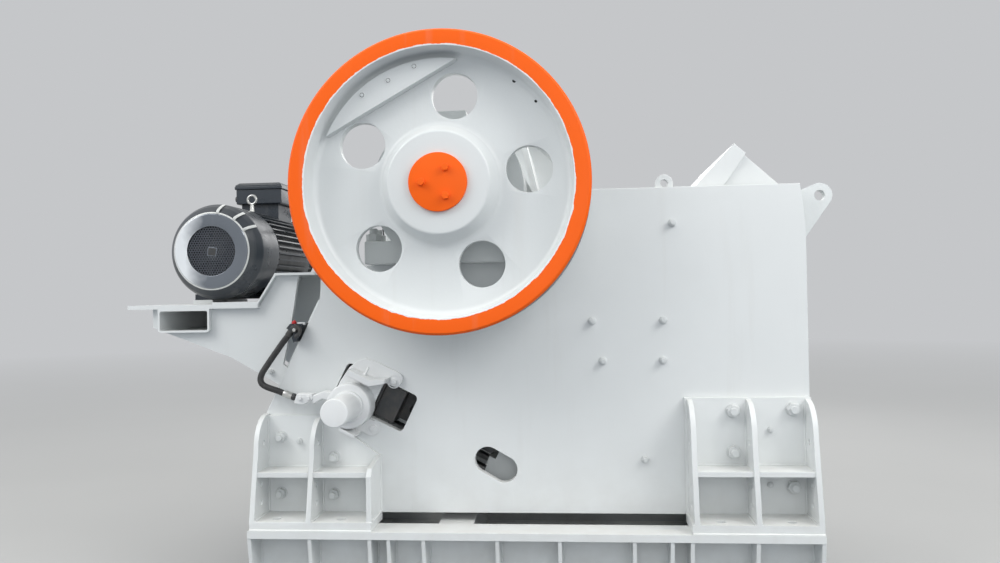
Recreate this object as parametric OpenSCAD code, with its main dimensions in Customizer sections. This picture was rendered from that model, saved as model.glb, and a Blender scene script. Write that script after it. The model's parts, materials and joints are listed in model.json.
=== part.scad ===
// Single-toggle jaw crusher with a plain flywheel, a grooved drive sheave, a motor
// carried on the frame's rear and a welded base frame.
// X runs from the motor end (-) to the feed lip end (+), Y across the machine,
// Z up from the ground. X = 0 is the eccentric shaft, Y = 0 the machine's middle.

/* [Frame] */
// Feed opening's width, between the cheek plates
feed_w = 1200; // [1000:10:1400]
// Thickness of a side plate
plate_t = 60; // [40:5:80]
// Height of a side plate at its front
plate_h = 1845; // [1780:5:1950]
// Shaft axis to the side plates' front edge
plate_front = 1990; // [1950:5:2200]
// Shaft axis to the side plates' foot at the rear
plate_rear = 1130; // [1110:5:1250]
// Half the length of the bearing seat cut in a side plate
seat_half = 520; // [500:5:560]
// Shaft axis above the bearing seat
seat_drop = 410; // [400:5:440]

/* [Flywheel and sheave] */
// Outer diameter of both wheels
wheel_d = 1600; // [1500:10:1700]
// Width of a wheel's rim
wheel_w = 320; // [280:5:340]
// Depth of a wheel's rim, from its outside in
rim_t = 90; // [70:5:110]
// Recess of the web behind the rim's face
web_depth = 133; // [110:1:140]
// Thickness of the web
web_t = 55; // [40:5:70]
// Diameter of the hub where it meets the web
hub_d = 638; // [600:2:680]
// Diameter of the hub's face
hub_face_d = 546; // [500:2:580]
// Hub's face behind the rim's face
hub_inset = 33; // [20:1:50]
// Diameter of the orange cap
cap_d = 310; // [280:2:340]
// Thickness of the orange cap
cap_t = 20; // [12:1:30]
// Number of round holes in the web
web_holes = 5; // [3:1:6]
// Diameter of a round hole in the web
web_hole_d = 250; // [180:5:260]
// Radius at which the web's holes lie
web_hole_r = 479; // [470:1:500]
// Side plate's outer face to the wheel's outer face
wheel_out = 516; // [510:2:560]
// Grooves for the belts
grooves = 8; // [4:1:8]
// Width of one groove at its mouth
groove_w = 28; // [26:1:30]

/* [Eccentric shaft and pitman] */
// Throw of the eccentric
throw = 16; // [10:1:20]
// Diameter of the shaft at its bearings
journal_d = 320; // [280:5:340]
// Diameter of the eccentric under the pitman
eccentric_d = 400; // [385:5:440]
// Outer radius of the pitman's barrel
barrel_r = 395; // [360:5:400]
// Width of the pitman's barrel
barrel_w = 1080; // [1000:10:1100]

/* [Crushing chamber] */
// Smallest gap between the jaws at the bottom
setting = 150; // [120:5:180]
// Lean of the fixed jaw from upright
fixed_lean = 7.5; // [6:0.5:9]
// Lean of the swing jaw from upright
swing_lean = 13; // [12:0.5:14]
// Thickness of a jaw die over its teeth
die_t = 115; // [100:5:130]
// Height of a tooth
tooth_h = 42; // [30:1:50]
// Teeth across one die
teeth = 12; // [8:1:14]
// Shaft axis to the fixed jaw's foot
fixed_foot = 1095; // [1090:5:1150]

/* [Toggle and wedges] */
// Tilt of the toggle and of the window beside it
toggle_tilt = 26.5; // [24:0.5:28]
// Shaft axis back to the window's middle
window_x = 458; // [440:2:470]
// Window's middle below the shaft axis
window_drop = 1185; // [1170:5:1190]
// Length of the window in a side plate
window_l = 460; // [440:5:470]
// Height of the window in a side plate
window_h = 230; // [210:5:240]
// Thickness of each setting wedge at its middle
wedge_t = 100; // [80:5:110]
// Thickness of the toggle plate
toggle_t = 70; // [60:5:80]
// Length of the toggle plate
toggle_l = 500; // [480:5:520]

/* [Feet and base frame] */
// Ground to the base frame's top
base_h = 440; // [400:5:600]
// Top flange's thickness
flange_t = 40; // [30:5:50]
// Foot's reach out from the side plate
foot_reach = 270; // [240:5:300]
// Thickness of a foot's base plate
foot_plate_t = 50; // [40:5:60]
// Thickness of a foot's ribs and back plate
foot_rib_t = 28; // [20:2:34]
// Base frame's top to the side plates' lower edge
plate_lift = 40; // [30:5:60]
// Diameter of an anchor bolt hole
anchor_d = 42; // [33:1:48]

/* [Motor and bracket] */
// Shaft axis back to the motor's axis
motor_x = 1631; // [1620:1:1700]
// Height of the motor's axis above its feet
motor_h = 315; // [315:1:330]
// Motor's radius over its fins
motor_r = 312; // [300:2:314]
// Diameter of the motor pulley
pulley_d = 375; // [355:5:400]
// Height of the bracket's top plate above the base frame's top
bracket_lift = 1262; // [1250:2:1290]

/* [Hidden] */
$fn = 96;

// Running clearance of the shaft in its bearings
run_fit = 0.05;
// Gap left between slanted faces that seat on each other
face_gap = 0.1;
cheek_t = 60;
side_clear = 10;
plate_in = feed_w / 2 + cheek_t;
plate_out = plate_in + plate_t;
plate_z0 = base_h + plate_lift;
shaft_z = plate_z0 + plate_h;
seat_z = shaft_z - seat_drop;
jaw_half = feed_w / 2 - side_clear;

// Wheels: distances run outward from the machine's middle
wheel_y1 = plate_out + wheel_out;
wheel_y0 = wheel_y1 - wheel_w;
web_y1 = wheel_y1 - web_depth;
web_y0 = web_y1 - web_t;
hub_y1 = wheel_y1 - hub_inset;
rim_chamfer = 12;
rim_in_r = wheel_d / 2 - rim_t;
groove_pitch = (wheel_w - 40) / grooves;
weight_reach = 529;
weight_t = 55;
weight_gap = 8;
weight_turn = 118.8;
web_hole_turn = 8.4;
seat_r = 140;

// Bearing housings
house_in = feed_w / 2;
house_out = house_in + 280;
house_r = 430;
house_foot = 480;
house_foot_h = 130;
cover_r = 300;
cover_t = 12;
hub_y0 = house_out + cover_t + 8;

// Jaws, in frames that lie along the face of each die
jaw_foot_z = plate_z0 + 50;
jaw_l = 1775;
wall_t = 90;
swing_foot = fixed_foot - setting;
tooth_pitch = 2 * jaw_half / teeth;

// Toggle line
window_z = shaft_z - window_drop;
window_r = 28;
window_back = 15;
rear_s = 560;
seat_wall_s = 60;
wall_s = 80;
wedge_h = 200;
wedge_slope = 0.04;
seat_block_t = 90;
wedge_end_s = 2 * wedge_t - seat_wall_s;
toggle_r = toggle_t / 2;
toggle_s0 = wedge_end_s + seat_block_t - 15;
toggle_s1 = toggle_s0 + toggle_l;
toggle_half = 520;
seat_gap = throw + 6;
seat_up = 2 * throw + 8;
seat_down = 10;
rear_low_t = -370;
rear_high_t = 375;
rod_t = -215;
rod_y = plate_in / 4;
rod_r = 25;
rod_pin_s = toggle_s1 + 85;

// Motor and its bracket
bracket_z = base_h + bracket_lift;
bracket_plate_t = 25;
bracket_end = motor_x + 345;
knee_x = -motor_x + 460;
deck_z = bracket_z + 166;
deck_t = 14;
rail_t = 12;
motor_z = bracket_z + rail_t + 15 + motor_h;
motor_y1 = wheel_y0 - 36;
motor_y0 = motor_y1 - 1200;
cowl_l = 390;
pulley_y0 = wheel_y0 + 10;
motor_shaft_r = 47.5;
foot_x = 254;

// A point of the toggle's frame in the machine's X and Z
function tf(s, t) = [
    -window_x + s * cos(toggle_tilt) + t * sin(toggle_tilt),
    window_z - s * sin(toggle_tilt) + t * cos(toggle_tilt)
];
// A point of the swing jaw's frame in the machine's X and Z
function sf(x, z) = [
    swing_foot + x * cos(swing_lean) - z * sin(swing_lean),
    jaw_foot_z + x * sin(swing_lean) + z * cos(swing_lean)
];
// A point of the fixed jaw's frame in the machine's X and Z
function ff(x, z) = [
    fixed_foot + x * cos(fixed_lean) + z * sin(fixed_lean),
    jaw_foot_z - x * sin(fixed_lean) + z * cos(fixed_lean)
];

// Height of the front frame's sloping top at one X
function top_z(x) = ff(die_t, jaw_l)[1] - (x - ff(die_t, jaw_l)[0]) * tan(fixed_lean);

// A flat outline in X and Z, thick from d0 to d1 out from the middle on the near side
module slab(d0, d1) {
    translate([0, -d0, 0]) rotate([90, 0, 0]) linear_extrude(d1 - d0) children();
}
// A flat outline in Y and Z, drawn out along X from x0 to x1
module along_x(x0, x1) {
    translate([x0, 0, 0]) rotate([90, 0, 90]) linear_extrude(x1 - x0) children();
}
module on_side(far) {
    if (far) mirror([0, 1, 0]) children();
    else children();
}
module toggle_frame() {
    translate([-window_x, 0, window_z]) rotate([0, toggle_tilt, 0]) children();
}
module swing_frame() {
    translate([swing_foot, 0, jaw_foot_z]) rotate([0, -swing_lean, 0]) children();
}
module fixed_frame() {
    translate([fixed_foot, 0, jaw_foot_z]) rotate([0, fixed_lean, 0]) children();
}
// A box from its low corner to its high corner
module span(a, b) {
    translate(a) cube(b - a);
}
// A cylinder along Y, from d0 to d1 out from the middle on the near side
module rod_out(r, d0, d1) {
    translate([0, -d0, 0]) rotate([90, 0, 0]) cylinder(h = d1 - d0, r = r);
}
module round_box(l, h, r) {
    square([l - 2 * r, h], center = true);
    square([l, h - 2 * r], center = true);
    for (x = [-1, 1], z = [-1, 1]) translate([x * (l / 2 - r), z * (h / 2 - r)]) circle(r);
}

// Side plates, of rolled steel, with the wedge window and the oval sight hole
module side_outline() {
    rear_low = tf(-rear_s, (window_x - plate_rear + rear_s * cos(toggle_tilt)) / sin(toggle_tilt));
    polygon([
        [-plate_rear, plate_z0], [plate_front, plate_z0], [plate_front, shaft_z - 235],
        [plate_front - 26, shaft_z], [seat_half, shaft_z],
        [seat_half, seat_z], [-seat_half, seat_z], [-784, shaft_z - 470],
        tf(-rear_s, rear_high_t), [-plate_rear, rear_low[1]]
    ]);
}
module lifting_lug() {
    lug_x = plate_front - 774;
    difference() {
        union() {
            translate([lug_x, shaft_z + 23]) circle(r = 50);
            translate([lug_x - 50, shaft_z - 20]) square([100, 43]);
        }
        translate([lug_x, shaft_z + 23]) circle(r = 20);
    }
}
module sight_hole() {
    translate([231, plate_z0 + 275]) rotate(-30) {
        square([110, 150], center = true);
        for (x = [-55, 55]) translate([x, 0]) circle(d = 150);
    }
}
module side_plate() {
    slab(plate_in, plate_out) difference() {
        side_outline();
        translate([-window_x, window_z]) rotate(-toggle_tilt) translate([-window_back, 0])
            round_box(window_l, window_h, window_r);
        sight_hole();
    }
    slab(plate_in + 15, plate_in + 45) lifting_lug();
}
module side_plate_near() { color("gainsboro") side_plate(); }
module side_plate_far() { color("gainsboro") on_side(true) side_plate(); }

// Front frame: a casting that backs the fixed jaw, with open pockets to the front
module front_frame() {
    back_x = die_t + wall_t;
    z0 = -40;
    z1 = jaw_l;
    rows = 5;
    cols = 4;
    rib = 50;
    front_x = plate_front - 35;
    ear_x = plate_front + 105;
    ear_z = shaft_z - 60;
    ear_r = 70;
    cell_h = (z1 - z0 - rib) / rows;
    cell_w = (2 * plate_in - rib) / cols;
    color("gainsboro") {
        difference() {
            slab(-plate_in, plate_in) polygon([
                ff(die_t, z0), [front_x, plate_z0 + 40], [front_x, top_z(front_x)], ff(die_t, z1)
            ]);
            for (i = [0:rows - 1], j = [0:cols - 1])
                fixed_frame() span(
                    [back_x, -plate_in + rib + j * cell_w, z0 + rib + i * cell_h],
                    [back_x + plate_front, -plate_in + (j + 1) * cell_w, z0 + (i + 1) * cell_h]
                );
        }
        for (far = [false, true]) on_side(far) slab(plate_in - 95, plate_in - 35) difference() {
            union() {
                translate([ear_x, ear_z]) circle(r = ear_r);
                polygon([
                    [front_x - 25, ear_z - 355], [ear_x + 65, ear_z - 29],
                    [ear_x - 40, ear_z + 60], [front_x - 25, ear_z + 5]
                ]);
            }
            translate([ear_x, ear_z]) circle(r = 30);
        }
    }
}

// Rear frame: a box casting square to the toggle, behind the setting wedges
module rear_frame() {
    color("gainsboro") toggle_frame() difference() {
        span([-rear_s, -plate_in, rear_low_t], [-seat_wall_s, plate_in, rear_high_t]);
        for (y = [-2:1]) {
            w = plate_in / 2;
            span([-rear_s + 50, y * w + 25, rear_low_t - 1], [-seat_wall_s - wall_s, (y + 1) * w - 25, -145]);
            span([-rear_s + 50, y * w + 25, 145], [-seat_wall_s - wall_s, (y + 1) * w - 25, rear_high_t + 1]);
        }
        span(
            [-rear_s + 50, -plate_in - 1, -window_h / 2 + 10],
            [-seat_wall_s - wall_s, plate_in + 1, window_h / 2 - 10]
        );
        for (y = [-rod_y, rod_y]) translate([-seat_wall_s - wall_s - 1, y, rod_t]) rotate([0, 90, 0])
            cylinder(h = wall_s + 2, r = rod_r + 10);
    }
}

// Feed lip: the flared edge over the fixed jaw, with a gusset at each end
module feed_lip() {
    lip_a = ff(die_t - 75, jaw_l) + [256, 290];
    lip_b = lip_a + [66, -60];
    gusset_end = ff(die_t, jaw_l)[0] + 485;
    gusset_top = lip_b[1] - 0.97 * (gusset_end - lip_b[0]);
    color("gainsboro") {
        slab(-plate_in + 20, plate_in - 20) polygon([
            ff(die_t - 85, jaw_l + face_gap), lip_a, lip_b,
            ff(die_t + 72, jaw_l + face_gap)
        ]);
        for (far = [false, true]) on_side(far) slab(plate_in - 70, plate_in - 40) polygon([
            ff(die_t + 72, jaw_l + face_gap), lip_b + [-6, -6], [gusset_end, gusset_top],
            [gusset_end, top_z(gusset_end) + face_gap]
        ]);
    }
}

// Tooth outline of a die: crests along Y at x = 0, cut back to the root
module tooth_row(shift) {
    root = tooth_h;
    n = teeth;
    p = tooth_pitch;
    polygon(concat(
        [[die_t, -jaw_half], [die_t, jaw_half]],
        [for (i = [n - 1:-1:0], k = [3:-1:0])
            let (y = -jaw_half + i * p + [0, 0.32, 0.5, 0.82][k] * p, crest = k == 0 || k == 3)
            [(crest == shift) ? root : 0, y]]
    ));
}
module fixed_jaw_die() {
    color("dimgray") fixed_frame() linear_extrude(jaw_l) tooth_row(true);
}
module swing_jaw_die() {
    color("dimgray") swing_frame() translate([0, 0, -10]) linear_extrude(jaw_l - 60)
        mirror([1, 0]) tooth_row(false);
}

// Cheek plates: an upper and a lower liner on each side plate
module cheek_plates() {
    gap = 6;
    split = 925;
    slab(plate_in - cheek_t, plate_in) {
        polygon([
            sf(-60, split + gap), ff(die_t - face_gap, split + gap),
            ff(die_t - face_gap, jaw_l - 40), sf(-60, jaw_l - 100)
        ]);
        polygon([
            sf(-60, 20), ff(die_t - face_gap, 10), ff(die_t - face_gap, split - gap), sf(-60, split - gap)
        ]);
    }
}
module cheek_plates_near() { color("slategray") cheek_plates(); }
module cheek_plates_far() { color("slategray") on_side(true) cheek_plates(); }

// Pitman: barrel, front plate, four webs and the seat of the toggle's front end
module pitman_web() {
    polygon([
        sf(-die_t - 5, 20), sf(-die_t - 5, jaw_l - 80), [0, shaft_z + 100], [-barrel_r + 20, shaft_z - 60],
        [-barrel_r + 95, shaft_z - 280], tf(toggle_s1 + 20, 260), tf(toggle_s1 + 20, seat_up + toggle_r),
        tf(rod_pin_s - 55, rod_t), tf(rod_pin_s, rod_t - 65), sf(-die_t - 240, 20)
    ]);
}
module pitman() {
    bore_z = shaft_z + throw;
    seat0 = toggle_s1 + toggle_r - 18;
    back = die_t + face_gap;
    color("silver") difference() {
        union() {
            translate([0, 0, bore_z]) rod_out(barrel_r, -barrel_w / 2, barrel_w / 2);
            slab(-jaw_half, jaw_half) polygon([
                sf(-back, -10), sf(-back, jaw_l), sf(-back - 90, jaw_l), sf(-back - 90, -10)
            ]);
            for (d = [-jaw_half + 30, -360, -30, 300, jaw_half - 90]) slab(d, d + 60) pitman_web();
            slab(-jaw_half, jaw_half) polygon([
                sf(-die_t - 90, jaw_l), sf(-20, jaw_l), sf(-20, jaw_l - 50), sf(-die_t - 90, jaw_l - 50)
            ]);
            slab(-jaw_half + 30, jaw_half - 30) polygon([
                sf(-back, 0), sf(-back - 260, 0), sf(-back - 250, 70), sf(-back, 70)
            ]);
            toggle_frame() span(
                [seat0, -toggle_half - 30, -90], [seat0 + 140, toggle_half + 30, seat_up + 75]
            );
        }
        translate([0, 0, bore_z]) rod_out(eccentric_d / 2 + run_fit, -barrel_w, barrel_w);
        toggle_frame() span(
            [seat0 - 200, -toggle_half - 100, -toggle_r - seat_down],
            [toggle_s1 + toggle_r + seat_gap, toggle_half + 100, toggle_r + seat_up]
        );
        for (y = [-rod_y, rod_y]) toggle_frame() span(
            [rod_pin_s - 150, y - 45, rod_t - 120], [rod_pin_s + 110, y + 45, rod_t + 75]
        );
    }
    color("silver") toggle_frame() translate([rod_pin_s, 0, rod_t]) rotate([90, 0, 0])
        cylinder(h = 2 * (jaw_half - 30), r = rod_r, center = true);
}
module barrel_guard() {
    color("gainsboro") slab(-jaw_half + 20, jaw_half - 20) polygon([
        sf(-65, jaw_l + face_gap), sf(-33, jaw_l + face_gap), sf(-33, jaw_l + 430), sf(-65, jaw_l + 430)
    ]);
}

// Eccentric shaft, turned along Y, with its thick part set off by the throw
module eccentric_shaft() {
    color("silver") translate([0, 0, shaft_z]) {
        rod_out(journal_d / 2, -house_out - cover_t, house_out + cover_t);
        translate([0, 0, throw]) rod_out(eccentric_d / 2, -house_in + 12, house_in - 12);
        rod_out(seat_r, -hub_y1, hub_y1);
    }
}

// Bearing housings: round castings with a flat foot on the side plates' seat
module housing_outline() {
    intersection() {
        union() {
            translate([0, shaft_z]) circle(r = house_r);
            translate([-house_foot, seat_z]) square([2 * house_foot, house_foot_h]);
            translate([-110, shaft_z]) square([220, house_r + 14]);
        }
        translate([-1000, seat_z]) square([2000, 2000]);
    }
}
module bearing_housing() {
    difference() {
        union() {
            slab(house_in, house_out) housing_outline();
            translate([0, 0, shaft_z]) rod_out(cover_r, house_in, house_out + cover_t);
        }
        translate([0, 0, shaft_z]) rod_out(journal_d / 2 + run_fit, 0, house_out + 200);
    }
}
module bearing_housing_near() { color("gainsboro") bearing_housing(); }
module bearing_housing_far() { color("gainsboro") on_side(true) bearing_housing(); }

// Wheels: radius first, then distance out from the middle
module wheel_profile(grooved) {
    r = wheel_d / 2;
    g0 = wheel_y0 + (wheel_w - grooves * groove_pitch) / 2;
    deep = 26;
    polygon(concat(
        [[seat_r, hub_y0], [hub_d / 2 - 20, hub_y0], [hub_d / 2, web_y0 - 20], [hub_d / 2 + 20, web_y0],
         [rim_in_r - 35, web_y0], [rim_in_r - 15, web_y0 - 20], [rim_in_r, wheel_y0],
         [r - rim_chamfer, wheel_y0], [r, wheel_y0 + rim_chamfer]],
        grooved ? [for (i = [0:grooves - 1], k = [0:3])
            [k == 0 || k == 3 ? r : r - deep,
             g0 + (i + 0.5) * groove_pitch + groove_w * [-0.5, -0.3, 0.3, 0.5][k]]] : [],
        [[r, wheel_y1 - rim_chamfer], [r - rim_chamfer, wheel_y1], [rim_in_r + 4, wheel_y1],
         [rim_in_r, wheel_y1 - 4], [rim_in_r - 12, web_y1 + 24], [rim_in_r - 20, web_y1 + 8],
         [rim_in_r - 36, web_y1], [hub_d / 2, web_y1], [hub_face_d / 2, hub_y1], [seat_r, hub_y1]]
    ));
}
module wheel(grooved) {
    translate([0, 0, shaft_z]) difference() {
        rotate([90, 0, 0]) rotate_extrude() wheel_profile(grooved);
        for (i = [0:web_holes - 1]) rotate([0, -web_hole_turn - i * 360 / web_holes, 0])
            translate([web_hole_r, 0, 0]) rod_out(web_hole_d / 2, web_y0 - 60, web_y1 + 60);
    }
}
module wheel_weight() {
    slab(web_y1, web_y1 + weight_t) translate([0, shaft_z]) intersection() {
        circle(r = rim_in_r - 36 - weight_gap);
        rotate(weight_turn) translate([weight_reach, -wheel_d / 2]) square(wheel_d);
    }
}
module wheel_cap() {
    translate([0, 0, shaft_z]) rod_out(cap_d / 2, hub_y1, hub_y1 + cap_t);
}
module flywheel() { color("gainsboro") wheel(false); }
module flywheel_weight() { color("gainsboro") wheel_weight(); }
module flywheel_cap() { color("orangered") wheel_cap(); }
module drive_sheave() {
    color("gainsboro") on_side(true) {
        wheel(true);
        wheel_weight();
    }
}
module sheave_cap() { color("orangered") on_side(true) wheel_cap(); }

// Toggle plate with round ends, its rear seat and the two setting wedges
module toggle_plate() {
    color("dimgray") toggle_frame() rotate([90, 0, 0]) translate([0, 0, -toggle_half])
        linear_extrude(2 * toggle_half) {
            for (s = [toggle_s0, toggle_s1]) translate([s, 0]) circle(r = toggle_r);
            translate([toggle_s0, -toggle_r]) square([toggle_l, toggle_t]);
        }
}
module toggle_seat() {
    color("dimgray") toggle_frame() difference() {
        span([wedge_end_s, -toggle_half - 40, -80], [wedge_end_s + seat_block_t, toggle_half + 40, 80]);
        translate([toggle_s0, 0, 0]) rotate([90, 0, 0])
            cylinder(h = 4 * toggle_half, r = toggle_r + 0.3, center = true);
        span([toggle_s0, -plate_out, -toggle_r - 0.3], [toggle_s0 + 200, plate_out, toggle_r + 0.3]);
    }
}
module rear_wedge() {
    mid = wedge_t - seat_wall_s;
    y = plate_out - 15;
    color("dimgray") toggle_frame() translate([0, 0, -wedge_h / 2]) linear_extrude(wedge_h) polygon([
        [-seat_wall_s, -y], [mid - wedge_slope * y, -y], [mid + wedge_slope * y, y], [-seat_wall_s, y]
    ]);
}
module front_wedge() {
    mid = wedge_t - seat_wall_s;
    y = plate_out - 40;
    color("dimgray") toggle_frame() translate([0, 0, -wedge_h / 2]) linear_extrude(wedge_h) polygon([
        [wedge_end_s, -y], [mid - wedge_slope * y, -y], [mid + wedge_slope * y, y], [wedge_end_s, y]
    ]);
}

// Wedge cylinders, standing out from the side plates over their windows
cyl_s = -108;
cyl_t = -85;
drum_r = 128;
barrel_out_r = 79;
bracket_base = 22;
bracket_reach = 150;
cyl = tf(cyl_s, cyl_t);
port = cyl + [-314, 22];
inlet = cyl + [-317, 438];
port_y = -plate_out - 75;
module cylinder_bracket() {
    wall = 18;
    ear_r = 44;
    ear_s = 50;
    high_t = window_h / 2 + 35;
    low_t = -window_h / 2 - 50;
    foot_t = cyl_t - drum_r - wall - 2;
    toggle_frame() {
        slab(plate_out, plate_out + bracket_base) polygon([
            [-240, -130], [-100, foot_t], [0, foot_t], [0, high_t + ear_r], [-100, high_t + ear_r],
            [-157, high_t + 34], [-194, high_t], [-222, high_t - 55], [-236, 0]
        ]);
        for (t = [high_t, low_t]) {
            span([-10, -plate_out - bracket_base, t - ear_r], [ear_s, -plate_out, t + ear_r]);
            translate([ear_s, -plate_out, t]) rotate([90, 0, 0]) cylinder(h = bracket_base, r = ear_r);
        }
        span([-190, -plate_out - bracket_reach, high_t - 18], [0, -plate_out - bracket_base, high_t]);
        span([-100, -plate_out - bracket_reach, foot_t], [0, -plate_out - bracket_base, foot_t + wall]);
    }
}
module wedge_cylinder() {
    toggle_frame() translate([cyl_s, -plate_out, cyl_t]) rotate([90, 0, 0]) {
        translate([0, 0, bracket_base]) cylinder(h = bracket_reach - bracket_base, r = drum_r);
        translate([0, 0, bracket_base]) cylinder(h = 422, r = barrel_out_r);
    }
    translate([port[0], 0, port[1]]) {
        slab(-port_y - 35, -port_y + 35) polygon([[5, 48], [-15, -8], [42, -17], [100, 15], [95, 47]]);
        slab(-port_y - 30, -port_y + 30) polygon([
            [75, 30], [165, 62], [drum_r + 112, 50], [drum_r + 112, 0], [150, 15], [99, -14]
        ]);
    }
}
module cylinder_bracket_near() { color("white") cylinder_bracket(); }
module cylinder_bracket_far() { color("white") on_side(true) cylinder_bracket(); }
module wedge_cylinder_near() { color("white") wedge_cylinder(); }
module wedge_cylinder_far() { color("white") on_side(true) wedge_cylinder(); }

// Tension rods under the toggle, held back by springs in the rear frame
module tension_rods() {
    eye_s = rod_pin_s + throw * sin(toggle_tilt);
    eye_t = rod_t - throw * cos(toggle_tilt);
    eye_r = rod_r + throw + 6;
    color("silver") toggle_frame() for (y = [-rod_y, rod_y]) difference() {
        union() {
            translate([-rear_s + 60, y, rod_t]) rotate([0, 90, 0])
                cylinder(h = rear_s - 60 + eye_s - eye_r - 10, r = rod_r);
            translate([eye_s, y + 25, eye_t]) rotate([90, 0, 0]) cylinder(h = 50, r = eye_r + 28);
            translate([-rear_s + 80, y, rod_t]) rotate([0, 90, 0]) cylinder(h = 60, r = 62, $fn = 6);
        }
        translate([eye_s, y + 26, eye_t]) rotate([90, 0, 0]) cylinder(h = 52, r = eye_r);
    }
}
module tension_springs() {
    color("dimgray") toggle_frame() for (y = [-rod_y, rod_y])
        translate([-rear_s + 140, y, rod_t]) rotate([0, 90, 0]) difference() {
            cylinder(h = rear_s - 140 - seat_wall_s - wall_s, r = 58);
            translate([0, 0, -1]) cylinder(h = rear_s, r = rod_r + 6);
        }
}

// Feet: welded brackets bolted to the side plates
rib_holes = [[100, 460], [148, 232], [148, 128]];
foot_bolt_d = 50;
foot_bolt_out = 195;
foot_bolt_at = [[-plate_rear + 135], [-plate_rear + 508], [plate_front - 528], [plate_front - 157]];
module foot_rib(top, reach) {
    polygon(concat(
        [[0, base_h + foot_plate_t], [0, top], [30, top]],
        [for (a = [75:-15:0]) [30 + (reach - 110) * cos(a), top - 190 + 190 * sin(a)]],
        [[reach, base_h + foot_plate_t]]
    ));
}
module foot(x0, x1, back, ribs, low_rib, shelf_z, shelf_reach) {
    top = base_h + foot_plate_t;
    difference() {
        foot_shape(x0, x1, back, ribs, low_rib, shelf_z, shelf_reach);
        for (at = foot_bolt_at) if (at[0] > x0 && at[0] < x1)
            translate([at[0], -plate_out - foot_bolt_out, base_h - 1]) cylinder(h = foot_plate_t + 2, d = foot_bolt_d);
        for (r = ribs, h = rib_holes) translate([r[0] - 1, -plate_out - h[0], base_h + h[1]])
            rotate([0, 90, 0]) cylinder(h = foot_rib_t + 2, d = 32);
    }
}
module foot_shape(x0, x1, back, ribs, low_rib, shelf_z, shelf_reach) {
    top = base_h + foot_plate_t;
    slab(plate_out, plate_out + foot_rib_t) polygon(back);
    span([x0, -plate_out - foot_reach, base_h], [x1, -plate_out, top]);
    for (r = ribs) translate([r[0], -plate_out, 0]) rotate([90, 0, 90]) mirror([1, 0, 0])
        linear_extrude(foot_rib_t) foot_rib(r[1], foot_reach);
    if (low_rib != 0) translate([low_rib, -plate_out, 0]) rotate([90, 0, 90]) mirror([1, 0, 0])
        linear_extrude(foot_rib_t) polygon([
            [0, top], [0, top + 330], [60, top + 320], [foot_reach - 40, top + 290],
            [foot_reach - 10, top + 250], [foot_reach - 5, top]
        ]);
    span([ribs[0][0], -plate_out - shelf_reach, shelf_z], [x1, -plate_out, shelf_z + foot_rib_t]);
}
module foot_rear() {
    top = plate_z0 + 577;
    x0 = -plate_rear;
    x1 = x0 + 693;
    foot(x0, x1, [
        [x0, base_h], [x1, base_h], [x1, plate_z0 + 332], [x1 - 330, top - 10], [x0, top - 10]
    ], [[x0, top], [x0 + 323, top - 20]], x1 - foot_rib_t, base_h + 283, 210);
}
module foot_front() {
    top = plate_z0 + 655;
    x0 = plate_front - 690;
    x1 = plate_front - 7;
    foot(x0, x1, [[x0, base_h], [x1 + 7, base_h], [x1 + 7, top], [x0, top]],
        [[x0 + 12, top - 8], [x0 + 335, top - 8], [x1 - foot_rib_t, top - 8]], 0, base_h + 293, 215);
}
module foot_rear_near() { color("gainsboro") foot_rear(); }
module foot_rear_far() { color("gainsboro") on_side(true) foot_rear(); }
module foot_front_near() { color("gainsboro") foot_front(); }
module foot_front_far() { color("gainsboro") on_side(true) foot_front(); }

// Base frame: two welded beams with tapered gussets, tied by cross members
beam_x0 = -plate_rear - 8;
beam_x1 = plate_front - 5;
gusset_x = [beam_x0, -795, -458, -352, -158, 247, 586, 985, 1184, 1289, 1630, beam_x1 - 20];
anchor_x = [-plate_rear + 170, plate_front - 170];
beam_web = plate_out + 87;
low_t = 30;
module base_beam() {
    out = plate_out + foot_reach + 10;
    low_in = beam_web - 105;
    difference() {
        union() {
            span([beam_x0, -out, base_h - flange_t], [beam_x1, -beam_web, base_h]);
            span([beam_x0, -beam_web - 25, 0], [beam_x1, -beam_web, base_h]);
            span([beam_x0, -beam_web - 130, 0], [beam_x1, -low_in, low_t]);
            for (x = gusset_x) along_x(x, x + 20) polygon([
                [-out + 5, base_h - flange_t], [-out + 5, base_h - flange_t - 25], [-beam_web - 130, low_t],
                [-beam_web, low_t], [-beam_web, base_h - flange_t]
            ]);
        }
        for (x = anchor_x) translate([x, -beam_web - 80, -1]) cylinder(h = low_t + 2, d = anchor_d);
        for (at = foot_bolt_at) translate([at[0], -plate_out - foot_bolt_out, base_h - flange_t - 1])
            cylinder(h = flange_t + 2, d = foot_bolt_d);
    }
}
module base_beam_near() { color("gainsboro") base_beam(); }
module base_beam_far() { color("gainsboro") on_side(true) base_beam(); }
module cross_member(x) {
    web = 20;
    flange_w = 200;
    between = beam_web - 105;
    span([x - web / 2, -beam_web, low_t], [x + web / 2, beam_web, base_h - flange_t]);
    span([x - flange_w / 2, -between, 0], [x + flange_w / 2, between, low_t]);
    span([x - flange_w / 2, -beam_web, base_h - flange_t], [x + flange_w / 2, beam_web, base_h - 10]);
}
module cross_member_rear() { color("gainsboro") cross_member(-plate_rear + 180); }
module cross_member_middle() { color("gainsboro") cross_member(0); }
module cross_member_front() { color("gainsboro") cross_member(plate_front - 160); }

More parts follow.
